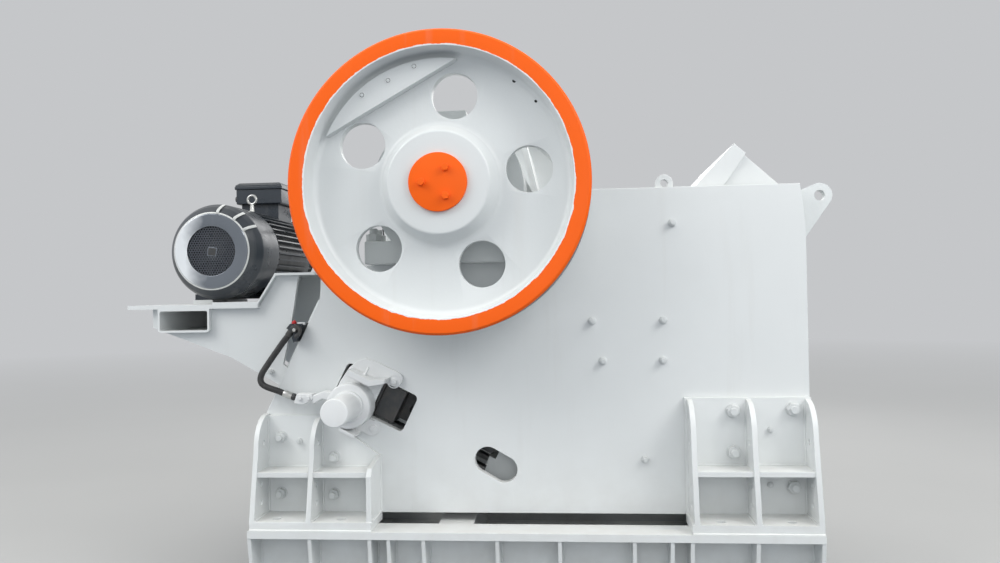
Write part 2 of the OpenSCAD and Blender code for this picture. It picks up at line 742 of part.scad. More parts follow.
// Motor bracket: two side plates, a top plate, a cross tube and a back plate
module bracket_side() {
    polygon([
        [-motor_x - 208, bracket_z - 135], [-motor_x - 208, bracket_z - 10], [knee_x, bracket_z - 10],
        [knee_x + 112, deck_z], [knee_x + 236, deck_z], [knee_x + 185, bracket_z - 150],
        [knee_x + 136, bracket_z - 362],
        tf(-rear_s - face_gap, -88), tf(-rear_s - face_gap, -200), [-motor_x + 281, bracket_z - 320]
    ]);
}
module motor_bracket() {
    deck_end = tf(-rear_s - 25, rear_high_t - 20)[0];
    tube_x = -motor_x - 158;
    tube_w = 320;
    tube_h = 140;
    tube_wall = 12;
    z1 = bracket_z - bracket_plate_t;
    color("gainsboro") {
        difference() {
            union() {
                for (far = [false, true]) on_side(far) slab(plate_in - 10, plate_in + 15) bracket_side();
                span([tube_x, -plate_out + 5, z1 - tube_h], [tube_x + tube_w, plate_out - 5, z1]);
            }
            span(
                [tube_x + tube_wall, -plate_out, z1 - tube_h + tube_wall],
                [tube_x + tube_w - tube_wall, plate_out, z1 - tube_wall]
            );
        }
        span([-bracket_end, -plate_out + 5, z1], [knee_x, motor_y1 + 20, bracket_z]);
        span([-motor_x + 180, -plate_out + 5, bracket_z], [knee_x - 3, motor_y1 + 20, bracket_z + rail_t]);
        for (x = [-foot_x, foot_x]) span(
            [-motor_x + x - 70, motor_y0 + 430, bracket_z],
            [-motor_x + x + 70, motor_y1 - 150, motor_z - motor_h]
        );
        slab(-plate_out + 5, plate_out - 5) polygon([
            [knee_x - 4, bracket_z - 10], [knee_x + 112, deck_z], [deck_end, deck_z], [deck_end, deck_z + deck_t],
            [knee_x + 107, deck_z + deck_t], [knee_x - 14, bracket_z - 10]
        ]);
        translate([inlet[0], 0, inlet[1]]) slab(plate_in - 20, plate_out + 50) polygon([
            [-69, 6], [-47, 32], [26, 32], [-15, -68], [-28, -78], [-38, -50], [-27, -24]
        ]);
        toggle_frame() span(
            [-rear_s - 25, -plate_in + 10, -200], [-rear_s - face_gap, plate_in - 10, rear_high_t - 20]
        );
        for (y = [-225, 225]) translate([0, y, 0]) slab(-10, 10) polygon([
            [tube_x + tube_w, z1 - tube_h], [tube_x + tube_w, z1], [knee_x - 2, z1], [knee_x + 112, deck_z],
            [deck_end, deck_z], tf(-rear_s - 20, rear_high_t - 20), tf(-rear_s - 20, -180)
        ]);
    }
}

// Motor: finned body on feet, with a fan cowl at the near end
box_y = motor_y0 + 1000;
module motor_body() {
    fins = 44;
    fin_t = 9;
    core_r = motor_r - 45;
    color("darkslategray") translate([-motor_x, 0, motor_z]) {
        difference() {
            rod_out(core_r, -motor_y1, -motor_y0 - cowl_l);
            rod_out(motor_shaft_r + run_fit, -motor_y1 - 1, -motor_y1 + 60);
        }
        slab(-motor_y1 + 90, -motor_y0 - cowl_l - 12) difference() {
            for (i = [0:fins - 1]) rotate(i * 360 / fins) translate([core_r - 5, -fin_t / 2]) square([50, fin_t]);
            circle(r = core_r - 3);
        }
        for (x = [-foot_x, foot_x]) span([x - 60, 120, -motor_h], [x + 60, motor_y1 - 160, -motor_h + 40]);
        span([-140, box_y - 140, core_r - 40], [140, box_y + 140, motor_r + 78]);
        for (x = [-235, 235]) span([x - 45, 140, -motor_h + 20], [x + 45, motor_y1 - 180, -130]);
    }
}
module fan_cowl() {
    color("darkslategray") translate([-motor_x, motor_y0, motor_z]) rotate([-90, 0, 0]) rotate_extrude() polygon([
        [0, 12], [160, 12], [160, 0], [240, 0], [252, 10],
        [motor_r - 18, 62], [motor_r, 90], [motor_r, cowl_l], [0, cowl_l]
    ]);
}
module terminal_box() {
    color("darkslategray") translate([-motor_x, box_y, motor_z + motor_r + 78]) {
        span([-172, -172, 0], [172, 172, 112]);
        span([-180, -180, 112], [180, 180, 132]);
        translate([0, 0, 132]) linear_extrude(28, scale = 0.9) square(350, center = true);
    }
}
module motor_pulley() {
    y0 = pulley_y0;
    color("dimgray") translate([-motor_x, 0, motor_z]) rotate([-90, 0, 0]) {
        translate([0, 0, motor_y1 - 59]) cylinder(h = wheel_y1 - motor_y1 + 59, r = motor_shaft_r);
        rotate_extrude() polygon(concat(
            [[motor_shaft_r, y0], [pulley_d / 2, y0]],
            [for (i = [0:grooves - 1], k = [0:3])
                [k == 0 || k == 3 ? pulley_d / 2 : pulley_d / 2 - 26,
                 wheel_y0 + (wheel_w - grooves * groove_pitch) / 2 + (i + 0.5) * groove_pitch
                    + groove_w * [-0.5, -0.3, 0.3, 0.5][k]]],
            [[pulley_d / 2, wheel_y1 - 10], [motor_shaft_r, wheel_y1 - 10]]
        ));
    }
}

// V-belts: each a closed loop that lies in its groove
module belt_loop(dr) {
    r1 = wheel_d / 2 + dr;
    r2 = pulley_d / 2 + dr;
    dx = -motor_x;
    dz = motor_z - shaft_z;
    l = sqrt(dx * dx + dz * dz);
    a = atan2(dz, dx);
    b = acos((r1 - r2) / l);
    translate([0, shaft_z]) circle(r = r1);
    translate([-motor_x, motor_z]) circle(r = r2);
    polygon([
        [r1 * cos(a + b), shaft_z + r1 * sin(a + b)], [dx + r2 * cos(a + b), motor_z + r2 * sin(a + b)],
        [dx + r2 * cos(a - b), motor_z + r2 * sin(a - b)], [r1 * cos(a - b), shaft_z + r1 * sin(a - b)]
    ]);
}
module v_belts() {
    w = 13;
    color("dimgray") for (i = [0:grooves - 1]) {
        y = wheel_y0 + (wheel_w - grooves * groove_pitch) / 2 + (i + 0.5) * groove_pitch;
        translate([0, y + w / 2, 0]) rotate([90, 0, 0]) linear_extrude(w) difference() {
            belt_loop(8);
            belt_loop(-10);
        }
    }
}

// Hydraulic hose from the fitting beside the rear frame to the near cylinder's port
hose_r = 18;
hose_sides = 10;
hose_steps = 3;
hose_route = [
    hose_at(inlet, -48.1, -9.14, 55), hose_at(inlet, -58, -23, 55), hose_at(inlet, -68, -37, 55),
    hose_at(inlet, -105, -84, 51), hose_at(inlet, -134, -126, 45), hose_at(inlet, -162, -167, 37),
    hose_at(inlet, -188, -208, 28), hose_at(port, -211, 176, 20), hose_at(port, -222, 150, 13),
    hose_at(port, -224, 125, 7), hose_at(port, -214, 103, 3), hose_at(port, -191, 87, 1),
    hose_at(port, -156, 74, 0), hose_at(port, -119, 62, 0), hose_at(port, -84, 48, 0),
    hose_at(port, -57, 38, 0), hose_at(port, -33, 30, 0), hose_at(port, -19, 25, 0),
    hose_at(port, -5.14, 20.05, 0)
];
function hose_at(p, dx, dz, inward) = [p[0] + dx, port_y + inward, p[1] + dz];
function curve(p, i, u) =
    let (a = p[max(i - 1, 0)], b = p[i], c = p[i + 1], d = p[min(i + 2, len(p) - 1)])
    0.5 * (2 * b + (c - a) * u + (2 * a - 5 * b + 4 * c - d) * u * u + (3 * b - a - 3 * c + d) * u * u * u);
function unit(v) = v / norm(v);
module hose_tube(route, r) {
    path = concat(
        [for (i = [0:len(route) - 2], k = [0:hose_steps - 1]) curve(route, i, k / hose_steps)],
        [route[len(route) - 1]]
    );
    n = len(path);
    m = hose_sides;
    rings = [for (i = [0:n - 1])
        let (t = unit(path[min(i + 1, n - 1)] - path[max(i - 1, 0)]),
             e = unit(cross(t, [0, 1, 0])), f = cross(t, e))
        for (k = [0:m - 1]) path[i] + r * (cos(k * 360 / m) * e + sin(k * 360 / m) * f)];
    polyhedron(rings, concat(
        [[for (k = [0:m - 1]) k]],
        [for (i = [0:n - 2], k = [0:m - 1])
            [i * m + k, (i + 1) * m + k, (i + 1) * m + (k + 1) % m, i * m + (k + 1) % m]],
        [[for (k = [m - 1:-1:0]) (n - 1) * m + k]]
    ));
}
module hydraulic_hose() {
    color("black") hose_tube(hose_route, hose_r);
}

side_plate_near();
side_plate_far();
front_frame();
rear_frame();
feed_lip();
fixed_jaw_die();
swing_jaw_die();
cheek_plates_near();
cheek_plates_far();
pitman();
barrel_guard();
eccentric_shaft();
bearing_housing_near();
bearing_housing_far();
flywheel();
flywheel_weight();
flywheel_cap();
drive_sheave();
sheave_cap();
toggle_plate();
toggle_seat();
rear_wedge();
front_wedge();
cylinder_bracket_near();
cylinder_bracket_far();
wedge_cylinder_near();
wedge_cylinder_far();
hydraulic_hose();
tension_rods();
tension_springs();
foot_rear_near();
foot_rear_far();
foot_front_near();
foot_front_far();
base_beam_near();
base_beam_far();
cross_member_rear();
cross_member_middle();
cross_member_front();
motor_bracket();
motor_body();
fan_cowl();
terminal_box();
motor_pulley();
v_belts();
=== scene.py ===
"""Jaw crusher: paint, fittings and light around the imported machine.
X runs from the motor end to the feed end, Y across the machine, Z up from the ground."""
import json
import math
import random

import bmesh
import bpy
from mathutils import Matrix, Vector


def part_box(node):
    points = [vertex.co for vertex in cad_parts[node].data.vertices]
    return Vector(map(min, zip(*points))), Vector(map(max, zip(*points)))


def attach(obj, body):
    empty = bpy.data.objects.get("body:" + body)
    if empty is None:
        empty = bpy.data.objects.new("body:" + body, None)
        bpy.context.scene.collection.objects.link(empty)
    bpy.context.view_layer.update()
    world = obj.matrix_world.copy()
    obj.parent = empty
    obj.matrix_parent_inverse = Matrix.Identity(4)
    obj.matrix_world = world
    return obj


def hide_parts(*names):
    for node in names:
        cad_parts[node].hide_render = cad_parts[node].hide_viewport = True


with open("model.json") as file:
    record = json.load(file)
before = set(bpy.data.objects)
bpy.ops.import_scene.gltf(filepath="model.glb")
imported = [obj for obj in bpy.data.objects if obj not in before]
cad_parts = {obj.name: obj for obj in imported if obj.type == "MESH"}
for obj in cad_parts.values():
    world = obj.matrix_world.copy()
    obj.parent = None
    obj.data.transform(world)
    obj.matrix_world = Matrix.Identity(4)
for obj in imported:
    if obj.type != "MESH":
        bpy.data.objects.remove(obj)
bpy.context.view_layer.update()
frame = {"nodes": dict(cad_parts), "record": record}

NODES = frame["nodes"]
BACKGROUND = (0.56, 0.57, 0.585)

# Places of the machine, in metres
SHAFT_Z = 2.325
PLATE_Y = 0.72
BASE_Z = 0.44
FOOT_TOP = 0.49
WINDOW = Vector((-0.458, 0, 1.140))
TILT = math.radians(26.5)

# The wheel's section: radius and distance out from the machine's middle
WHEEL_R = 0.80
WHEEL_OUT = 1.236
WHEEL_IN = 0.916
WEB_OUT = 1.103
WEB_IN = 1.048
HUB_OUT = 1.203
HUB_IN = 0.900
RIM_R = 0.71
HOLE_R = 0.125
HOLE_AT = 0.479

# The motor
MOTOR = Vector((-1.631, 0, 2.044))
MOTOR_R = 0.312
COWL_Y = -0.320


def toggle_point(s, t, y=0.0):
    """A point of the toggle's slanted frame, in metres of the machine."""
    return Vector((WINDOW.x + s * math.cos(TILT) + t * math.sin(TILT), y,
                   WINDOW.z - s * math.sin(TILT) + t * math.cos(TILT)))


CYLINDER = toggle_point(-0.108, -0.085)
PORT = Vector((CYLINDER.x - 0.314, -0.795, CYLINDER.z + 0.022))


# ---------------------------------------------------------------- camera
def place_camera():
    """The camera that the picture's straight and round edges give."""
    yaw, pitch, roll = (math.radians(a) for a in (-5.2324, 0.85344, 0.99265))
    ahead = Vector((math.sin(yaw) * math.cos(pitch), math.cos(yaw) * math.cos(pitch), math.sin(pitch)))
    right = Vector((math.cos(yaw), -math.sin(yaw), 0))
    down = ahead.cross(right)
    right, down = (math.cos(roll) * right + math.sin(roll) * down,
                   math.cos(roll) * down - math.sin(roll) * right)
    lens = bpy.data.cameras.new("camera")
    lens.sensor_width, lens.lens = 36, 30.2816
    lens.clip_start, lens.clip_end = 0.05, 300
    camera = bpy.data.objects.new("camera", lens)
    bpy.context.scene.collection.objects.link(camera)
    turn = Matrix((right, -down, -ahead)).transposed().to_4x4()
    camera.matrix_world = Matrix.Translation((0.71378, -5.54201, 1.73473)) @ turn
    bpy.context.scene.camera = camera


# ---------------------------------------------------------------- finishes
class Nodes:
    """A node tree, with short calls that add to it."""

    def __init__(self, tree):
        self.tree = tree

    def set(self, node, socket, value):
        """Puts a number on a socket, or joins another node's output to it."""
        if isinstance(value, bpy.types.NodeSocket):
            self.tree.links.new(value, node.inputs[socket])
        else:
            node.inputs[socket].default_value = value

    def add(self, kind, values=None, **options):
        node = self.tree.nodes.new(kind)
        for key, value in options.items():
            setattr(node, key, value)
        for socket, value in (values or {}).items():
            self.set(node, socket, value)
        return node

    def sum(self, kind, a, b=0.0, c=0.0):
        return self.add("ShaderNodeMath", {0: a, 1: b, 2: c}, operation=kind).outputs[0]

    def fade(self, value, low, high, to_low=0.0, to_high=1.0):
        return self.add("ShaderNodeMapRange", {"Value": value, "From Min": low, "From Max": high,
                                               "To Min": to_low, "To Max": to_high}).outputs["Result"]

    def mix(self, amount, first, second):
        """A colour between two, by an amount."""
        return self.add("ShaderNodeMix", {0: amount, 6: first, 7: second}, data_type="RGBA").outputs[2]


class Finish(Nodes):
    """A procedural material: its shader and the nodes that feed it."""

    def __init__(self, name, colour, rough, metal=0.0, specular=0.5, coat=0.0):
        self.mat = bpy.data.materials.new(name)
        self.mat.use_nodes = True
        self.mat.diffuse_color = (*colour, 1)
        super().__init__(self.mat.node_tree)
        self.shader = self.tree.nodes["Principled BSDF"]
        for socket, value in (("Base Color", (*colour, 1)), ("Roughness", rough), ("Metallic", metal),
                              ("Specular IOR Level", specular), ("Coat Weight", coat)):
            self.set(self.shader, socket, value)
        self.here = self.add("ShaderNodeTexCoord").outputs["Object"]
        self.colour = (*colour, 1)
        self.normal = None

    def noise(self, scale, detail=3.0, stretch=None, rough=0.55):
        where = self.here
        if stretch:
            where = self.add("ShaderNodeMapping", {"Vector": where, "Scale": stretch}).outputs[0]
        return self.add("ShaderNodeTexNoise", {"Vector": where, "Scale": scale, "Detail": detail,
                                               "Roughness": rough}).outputs["Fac"]

    def cells(self, scale, feature="F1"):
        return self.add("ShaderNodeTexVoronoi", {"Vector": self.here, "Scale": scale},
                        feature=feature).outputs["Distance"]

    def place(self, axis):
        return self.add("ShaderNodeSeparateXYZ", {0: self.here}).outputs["XYZ".index(axis)]

    def facing(self, axis):
        """How far a surface faces along an axis, from -1 to 1."""
        normal = self.add("ShaderNodeNewGeometry").outputs["Normal"]
        return self.add("ShaderNodeSeparateXYZ", {0: normal}).outputs["XYZ".index(axis)]

    def blend(self, amount, colour):
        """Lays another colour over the one so far, by an amount."""
        self.colour = self.mix(amount, self.colour, (*colour, 1))
        self.set(self.shader, "Base Color", self.colour)

    def gloss(self, value, low, high):
        """Roughness that wanders between two values."""
        self.set(self.shader, "Roughness", self.fade(value, 0.3, 0.7, low, high))

    def relief(self, height, deep, strength=1.0):
        """Bump from a height, over any bump so far."""
        values = {"Height": height, "Distance": deep, "Strength": strength}
        if self.normal:
            values["Normal"] = self.normal
        self.normal = self.add("ShaderNodeBump", values).outputs["Normal"]
        self.set(self.shader, "Normal", self.normal)


def painted_steel(name, colour, rough=0.42, dust=0.32, cast=0.0, coat=0.15, metal=0.0, specular=0.5):
    """Sprayed paint: soft clouds of tone, dust on what faces up, grime low down."""
    f = Finish(name, colour, rough, metal, specular, coat)
    f.set(f.shader, "Coat Roughness", 0.25)
    clouds = f.noise(0.9, 4)
    f.blend(f.fade(clouds, 0.35, 0.65, 0.0, 0.55), tuple(c * 0.93 for c in colour))
    f.blend(f.fade(f.noise(5.5, 5), 0.45, 0.75, 0.0, 0.35), tuple(c * 0.96 for c in colour))
    streaks = f.noise(3.0, 5, stretch=(3.0, 3.0, 0.22))
    f.blend(f.fade(streaks, 0.58, 0.8, 0.0, 0.16), (0.52, 0.50, 0.46))
    low = f.fade(f.place("Z"), 0.0, 0.95, 1.0, 0.0)
    grime = f.sum("MULTIPLY", low, f.fade(f.noise(7.0, 6), 0.35, 0.75))
    f.blend(f.sum("MULTIPLY", grime, 0.30), (0.42, 0.39, 0.34))
    up = f.fade(f.facing("Z"), 0.55, 0.98)
    settled = f.sum("MULTIPLY", up, f.fade(f.noise(11.0, 6), 0.3, 0.7, 0.35, 1.0))
    f.blend(f.sum("MULTIPLY", settled, dust), (0.56, 0.53, 0.47))
    specks = f.fade(f.cells(42.0), 0.0, 0.045, 1.0, 0.0)
    rare = f.sum("MULTIPLY", specks, f.fade(f.noise(1.9, 2), 0.62, 0.70))
    f.blend(f.sum("MULTIPLY", rare, 0.45), (0.25, 0.23, 0.21))
    f.gloss(f.noise(6.0, 4), rough - 0.07, rough + 0.10)
    f.relief(f.noise(230.0, 2), 0.00035, 0.35)
    if cast:
        f.relief(f.noise(48.0, 5), cast, 0.6)
    return f


def wear_rim(f):
    """The rim's orange is worn back to white in chips along its inner edge."""
    x, z = f.place("X"), f.sum("SUBTRACT", f.place("Z"), SHAFT_Z)
    radius = f.sum("SQRT", f.sum("ADD", f.sum("MULTIPLY", x, x), f.sum("MULTIPLY", z, z)))
    wander = f.fade(f.noise(23.0, 5), 0.35, 0.72, 0.0, 0.0065)
    chipped = f.fade(f.sum("SUBTRACT", radius, wander), RIM_R + 0.0045, RIM_R + 0.0058, 1.0, 0.0)
    f.blend(chipped, (0.78, 0.79, 0.79))
    nicks = f.sum("MULTIPLY", f.fade(f.cells(19.0), 0.0, 0.03, 1.0, 0.0), f.fade(f.noise(2.4, 2), 0.60, 0.66))
    f.blend(nicks, (0.75, 0.70, 0.66))


# Painted finishes: name, colour, roughness, then what differs from plain paint
WHITE = (0.75, 0.77, 0.768)
ORANGE = (0.95, 0.127, 0.004)
PAINTS = {
    "frame paint": ("frame_paint", WHITE, {}),
    "cast paint": ("cast_paint", (0.73, 0.755, 0.752), {"rough": 0.45, "cast": 0.0016}),
    "cylinder paint": ("cylinder_paint", (0.79, 0.80, 0.80), {"rough": 0.36, "dust": 0.12}),
    "cap paint": ("orange_paint", ORANGE, {"rough": 0.40, "dust": 0.08, "coat": 0.0, "specular": 0.22}),
    "motor paint": ("motor_paint", (0.030, 0.037, 0.047),
                    {"rough": 0.30, "dust": 0.10, "cast": 0.0007, "coat": 0.2, "specular": 0.4}),
    # The wheel's white is set darker than the frame's to offset the stronger light on the wheel: painted
    # shade
    "wheel paint": ("wheel_white_painted_shade", (0.69, 0.712, 0.712), {"rough": 0.38, "dust": 0.15, "cast": 0.0008}),
    "rim paint": ("rim_paint", ORANGE, {"rough": 0.40, "dust": 0.06, "coat": 0.0, "specular": 0.22}),
    "rim black": ("rim_black", (0.018, 0.018, 0.020), {"dust": 0.25, "cast": 0.0006}),
    "weld paint": ("weld_paint", WHITE, {"rough": 0.46, "dust": 0.3, "cast": 0.0012}),
    "bolt paint": ("bolt_paint", (0.66, 0.68, 0.68), {"rough": 0.36, "dust": 0.25}),
    "cowl ring": ("cowl_ring", (0.17, 0.19, 0.22), {"rough": 0.16, "dust": 0.05, "coat": 0.6, "metal": 0.5}),
    "grille": ("grille_paint", (0.115, 0.127, 0.150), {"rough": 0.30, "dust": 0.10, "coat": 0.4}),
    # The seam finish's pale colour is a painted highlight: light caught by the cowl's seams and by the rim
    # between its ring and shoulder
    "seam": ("seam_painted_highlight", (0.60, 0.61, 0.60), {"rough": 0.35, "dust": 0.1}),
    # Near-black put in gaps and holes (under the box lid, inside the cowl, round screws, on the web's holes):
    # painted shade
    "dark slot": ("painted_gap_shade", (0.012, 0.012, 0.013), {"rough": 0.8, "dust": 0.0, "coat": 0.0}),
}
# Bare finishes: name, colour, roughness, metal, clouds of another colour (scale, detail, from, to, most,
# colour), roughness that wanders (scale, detail, low, high) and bump (scale, detail, depth, strength)
BARE = {
    "manganese": ("manganese_steel", (0.085, 0.078, 0.072), 0.55, 0.55,
                  ((9.0, 6, 0.4, 0.7, 1.0, (0.16, 0.085, 0.05)),
                   (30.0, 4, 0.55, 0.75, 0.6, (0.24, 0.22, 0.20))),
                  (14.0, 4, 0.45, 0.72), (38.0, 6, 0.003, 0.7)),
    "dark steel": ("dark_steel", (0.062, 0.065, 0.068), 0.42, 0.5,
                   ((16.0, 6, 0.45, 0.7, 0.7, (0.10, 0.092, 0.084)),),
                   (20.0, 4, 0.32, 0.56), (70.0, 5, 0.0012, 0.5)),
    "belt": ("belt_rubber", (0.018, 0.018, 0.019), 0.62, 0.0,
             ((22.0, 5, 0.4, 0.75, 0.6, (0.055, 0.053, 0.05)),),
             (40.0, 3, 0.5, 0.78), (300.0, 3, 0.0005, 0.6)),
    "hose": ("hose_rubber", (0.020, 0.020, 0.021), 0.48, 0.0,
             ((30.0, 5, 0.45, 0.75, 0.5, (0.07, 0.068, 0.064)),),
             (25.0, 4, 0.38, 0.62), (420.0, 2, 0.0006, 0.6)),
    "zinc": ("zinc_plate", (0.62, 0.63, 0.62), 0.32, 0.9,
             ((60.0, 5, 0.4, 0.7, 0.6, (0.46, 0.45, 0.40)),), (45.0, 3, 0.25, 0.45), (150.0, 3, 0.0003, 0.4)),
    "red": ("red_cap", (0.55, 0.012, 0.015), 0.4, 0.0,
            ((80.0, 4, 0.4, 0.7, 0.5, (0.42, 0.02, 0.02)),), (60.0, 3, 0.33, 0.5), (500.0, 2, 0.0002, 0.4)),
}


def make_finishes():
    """Every finish of the machine by a plain name."""
    out = {key: painted_steel(name, colour, **options) for key, (name, colour, options) in PAINTS.items()}
    wear_rim(out["rim paint"])
    f = out["cowl ring"]
    # Painted reflection: the ring turns pale blue-white towards its left side, standing for a bright light
    # mirrored there
    painted_reflection = f.sum("ADD", f.place("X"), f.fade(f.noise(4.0, 3), 0.3, 0.7, -0.05, 0.05))
    f.blend(f.fade(painted_reflection, MOTOR.x - 0.17, MOTOR.x - 0.03, 1.0, 0.0), (0.94, 0.97, 1.0))
    for key, (name, colour, rough, metal, clouds, gloss, bump) in BARE.items():
        out[key] = f = Finish(name, colour, rough, metal=metal)
        for scale, detail, low, high, most, other in clouds:
            f.blend(f.fade(f.noise(scale, detail), low, high, 0.0, most), other)
        f.gloss(f.noise(*gloss[:2]), *gloss[2:])
        f.relief(f.noise(*bump[:2]), *bump[2:])
    out["machined"] = f = Finish("machined_steel", (0.42, 0.42, 0.42), 0.30, metal=1.0)
    rings = f.noise(26.0, 3, stretch=(1.0, 22.0, 1.0))
    f.blend(f.fade(rings, 0.35, 0.7, 0.0, 0.6), (0.26, 0.26, 0.265))
    f.blend(f.fade(f.noise(5.0, 6), 0.6, 0.8, 0.0, 0.5), (0.30, 0.22, 0.14))
    f.gloss(f.noise(12.0, 4), 0.22, 0.42)
    f.relief(rings, 0.0004, 0.4)
    return out


SLOT_FINISH = {
    "white_paint": "frame paint", "cylinder_white": "cylinder paint", "orange_paint": "cap paint",
    "motor_paint": "motor paint", "manganese_steel": "manganese", "machined_steel": "machined",
    "dark_steel": "dark steel", "belt_rubber": "belt", "hose_rubber": "hose",
}
NODE_SLOT = {row["node"]: row["material_slot"] for row in frame["record"]["subparts"]}
CAST_NODES = ("front_frame", "rear_frame", "bearing_housing_near", "bearing_housing_far", "pitman")


def finish_of(name):
    """The finish of a CAD node, from its slot in the record."""
    if name in CAST_NODES:
        return "cast paint"
    if name == "flywheel_weight":
        return "wheel paint"
    return SLOT_FINISH[NODE_SLOT[name]]


def dress_nodes():
    for name, node in NODES.items():
        node.data.materials.clear()
        node.data.materials.append(FINISH[finish_of(name)].mat)


# ---------------------------------------------------------------- modelling helpers
def nothing_selected():
    if bpy.context.object and bpy.context.object.mode != "OBJECT":
        bpy.ops.object.mode_set(mode="OBJECT")
    bpy.ops.object.select_all(action="DESELECT")


def only(*pieces):
    nothing_selected()
    for piece in pieces:
        piece.select_set(True)
    bpy.context.view_layer.objects.active = pieces[0]


def open_mesh(piece, kind="FACE", chosen="DESELECT"):
    """Edit mode on one piece, with nothing or all of it selected."""
    only(piece)
    bpy.ops.object.mode_set(mode="EDIT")
    bpy.ops.mesh.select_mode(type=kind)
    bpy.ops.mesh.select_all(action=chosen)


def pick(piece, test, kind="FACE"):
    """Selects, in edit mode, the faces, edges or corners that pass a test."""
    bpy.ops.mesh.select_mode(type=kind)
    bpy.ops.mesh.select_all(action="DESELECT")
    mesh = bmesh.from_edit_mesh(piece.data)
    for part in {"FACE": mesh.faces, "EDGE": mesh.edges, "VERT": mesh.verts}[kind]:
        if test(part):
            part.select_set(True)
    mesh.select_flush_mode()
    bmesh.update_edit_mesh(piece.data)


def close_mesh():
    bpy.ops.object.mode_set(mode="OBJECT")


def settle(piece, finish=None, name=None):
    """Puts a piece's place into its mesh and gives it a finish."""
    only(piece)
    bpy.ops.object.transform_apply(location=True, rotation=True, scale=True)
    if finish:
        piece.data.materials.clear()
        piece.data.materials.append(FINISH[finish].mat)
    if name:
        piece.name = piece.data.name = name
    return piece


def modifier(piece, kind, **options):
    """Adds a modifier, sets it and applies it."""
    only(piece)
    mod = piece.modifiers.new(kind.lower(), kind)
    for key, value in options.items():
        setattr(mod, key, value)
    bpy.ops.object.modifier_apply(modifier=mod.name)
    return piece


def smooth(piece, angle=35.0):
    only(piece)
    bpy.ops.object.shade_smooth_by_angle(angle=math.radians(angle))
    return piece


def even_shade(piece, angle=50.0):
    """Smooth rounded edges beside flat faces that stay flat."""
    smooth(piece, angle)
    return modifier(piece, "WEIGHTED_NORMAL", keep_sharp=True, weight=80)


def soften(piece, width, steps=2, angle=35.0):
    """Rounds every edge that is sharper than an angle."""
    modifier(piece, "BEVEL", width=width, segments=steps, limit_method="ANGLE",
             angle_limit=math.radians(angle))
    return even_shade(piece)


def block(low, high, finish, edge=0.002, steps=2):
    """A flat-sided piece between two corners, with rounded edges."""
    low, high = Vector(low), Vector(high)
    nothing_selected()
    bpy.ops.mesh.primitive_cube_add(size=1, location=(low + high) / 2)
    piece = bpy.context.object
    piece.scale = high - low
    settle(piece, finish)
    return soften(piece, edge, steps) if edge else piece


def slab(points, y0, y1, finish, edge=0.002, steps=2):
    """A flat outline in X and Z, thick from y0 to y1, with rounded edges."""
    nothing_selected()
    bpy.ops.mesh.primitive_circle_add(vertices=len(points), radius=1, fill_type="NGON")
    piece = bpy.context.object
    for corner, (x, z) in zip(piece.data.vertices, points):
        corner.co = (x, y0, z)
    open_mesh(piece, "FACE", "SELECT")
    bpy.ops.mesh.extrude_region_move(TRANSFORM_OT_translate={"value": (0, y1 - y0, 0)})
    bpy.ops.mesh.select_all(action="SELECT")
    bpy.ops.mesh.normals_make_consistent(inside=False)
    close_mesh()
    settle(piece, finish)
    return soften(piece, edge, steps) if edge else piece


def rounded(points, radii, steps=4):
    """A section's corners turned into arcs. A radius of 0 leaves its corner sharp."""
    out = []
    count = len(points)
    for i, (point, radius) in enumerate(zip(points, radii)):
        here = Vector(point)
        if not radius:
            out.append(tuple(here))
            continue
        back = Vector(points[i - 1]) - here
        on = Vector(points[(i + 1) % count]) - here
        half = back.angle(on) / 2
        reach = min(radius / math.tan(half), 0.49 * back.length, 0.49 * on.length)
        radius = reach * math.tan(half)
        back.normalize()
        on.normalize()
        middle = here + (back + on).normalized() * (radius / math.sin(half))
        start, end = here + back * reach - middle, here + on * reach - middle
        swing = start.angle_signed(end)
        for k in range(steps + 1):
            arc = start.copy()
            arc.rotate(Matrix.Rotation(-swing * k / steps, 2))
            out.append(tuple(middle + arc))
    return out


def turned(profile, sides, finish, centre=(0, 0, SHAFT_Z), closed=True, flip=1):
    """A ring or a shaft turned about Y, from points of radius and depth along Y."""
    nothing_selected()
    bpy.ops.mesh.primitive_circle_add(vertices=len(profile), radius=1, location=(0, 0, 0))
    piece = bpy.context.object
    open_mesh(piece, "VERT")
    mesh = bmesh.from_edit_mesh(piece.data)
    mesh.verts.ensure_lookup_table()
    for corner, (radius, depth) in zip(mesh.verts, profile):
        corner.co = (radius, flip * depth, 0)
    if not closed:
        mesh.edges.ensure_lookup_table()
        ends = {mesh.verts[0], mesh.verts[len(profile) - 1]}
        for edge in list(mesh.edges):
            if set(edge.verts) == ends:
                mesh.edges.remove(edge)
    bmesh.update_edit_mesh(piece.data)
    bpy.ops.mesh.select_all(action="SELECT")
    bpy.ops.mesh.spin(steps=sides, angle=2 * math.pi, center=(0, 0, 0), axis=(0, 1, 0))
    bpy.ops.mesh.select_all(action="SELECT")
    bpy.ops.mesh.remove_doubles(threshold=0.00002)
    bpy.ops.mesh.normals_make_consistent(inside=False)
    close_mesh()
    piece.location = centre
    settle(piece, finish)
    return smooth(piece, 32)


def bar(start, end, radius, finish, sides=20, edge=0.001, end_radius=None):
    """A round bar between two points, with eased ends."""
    start, end = Vector(start), Vector(end)
    nothing_selected()
    bpy.ops.mesh.primitive_cone_add(vertices=sides, radius1=radius, radius2=end_radius or radius,
                                    depth=(end - start).length)
    piece = bpy.context.object
    if edge:
        modifier(piece, "BEVEL", width=edge, segments=2, limit_method="ANGLE", angle_limit=math.radians(50))
    moved(piece, (start + end) / 2, towards(end - start))
    settle(piece, finish)
    return smooth(piece, 40)


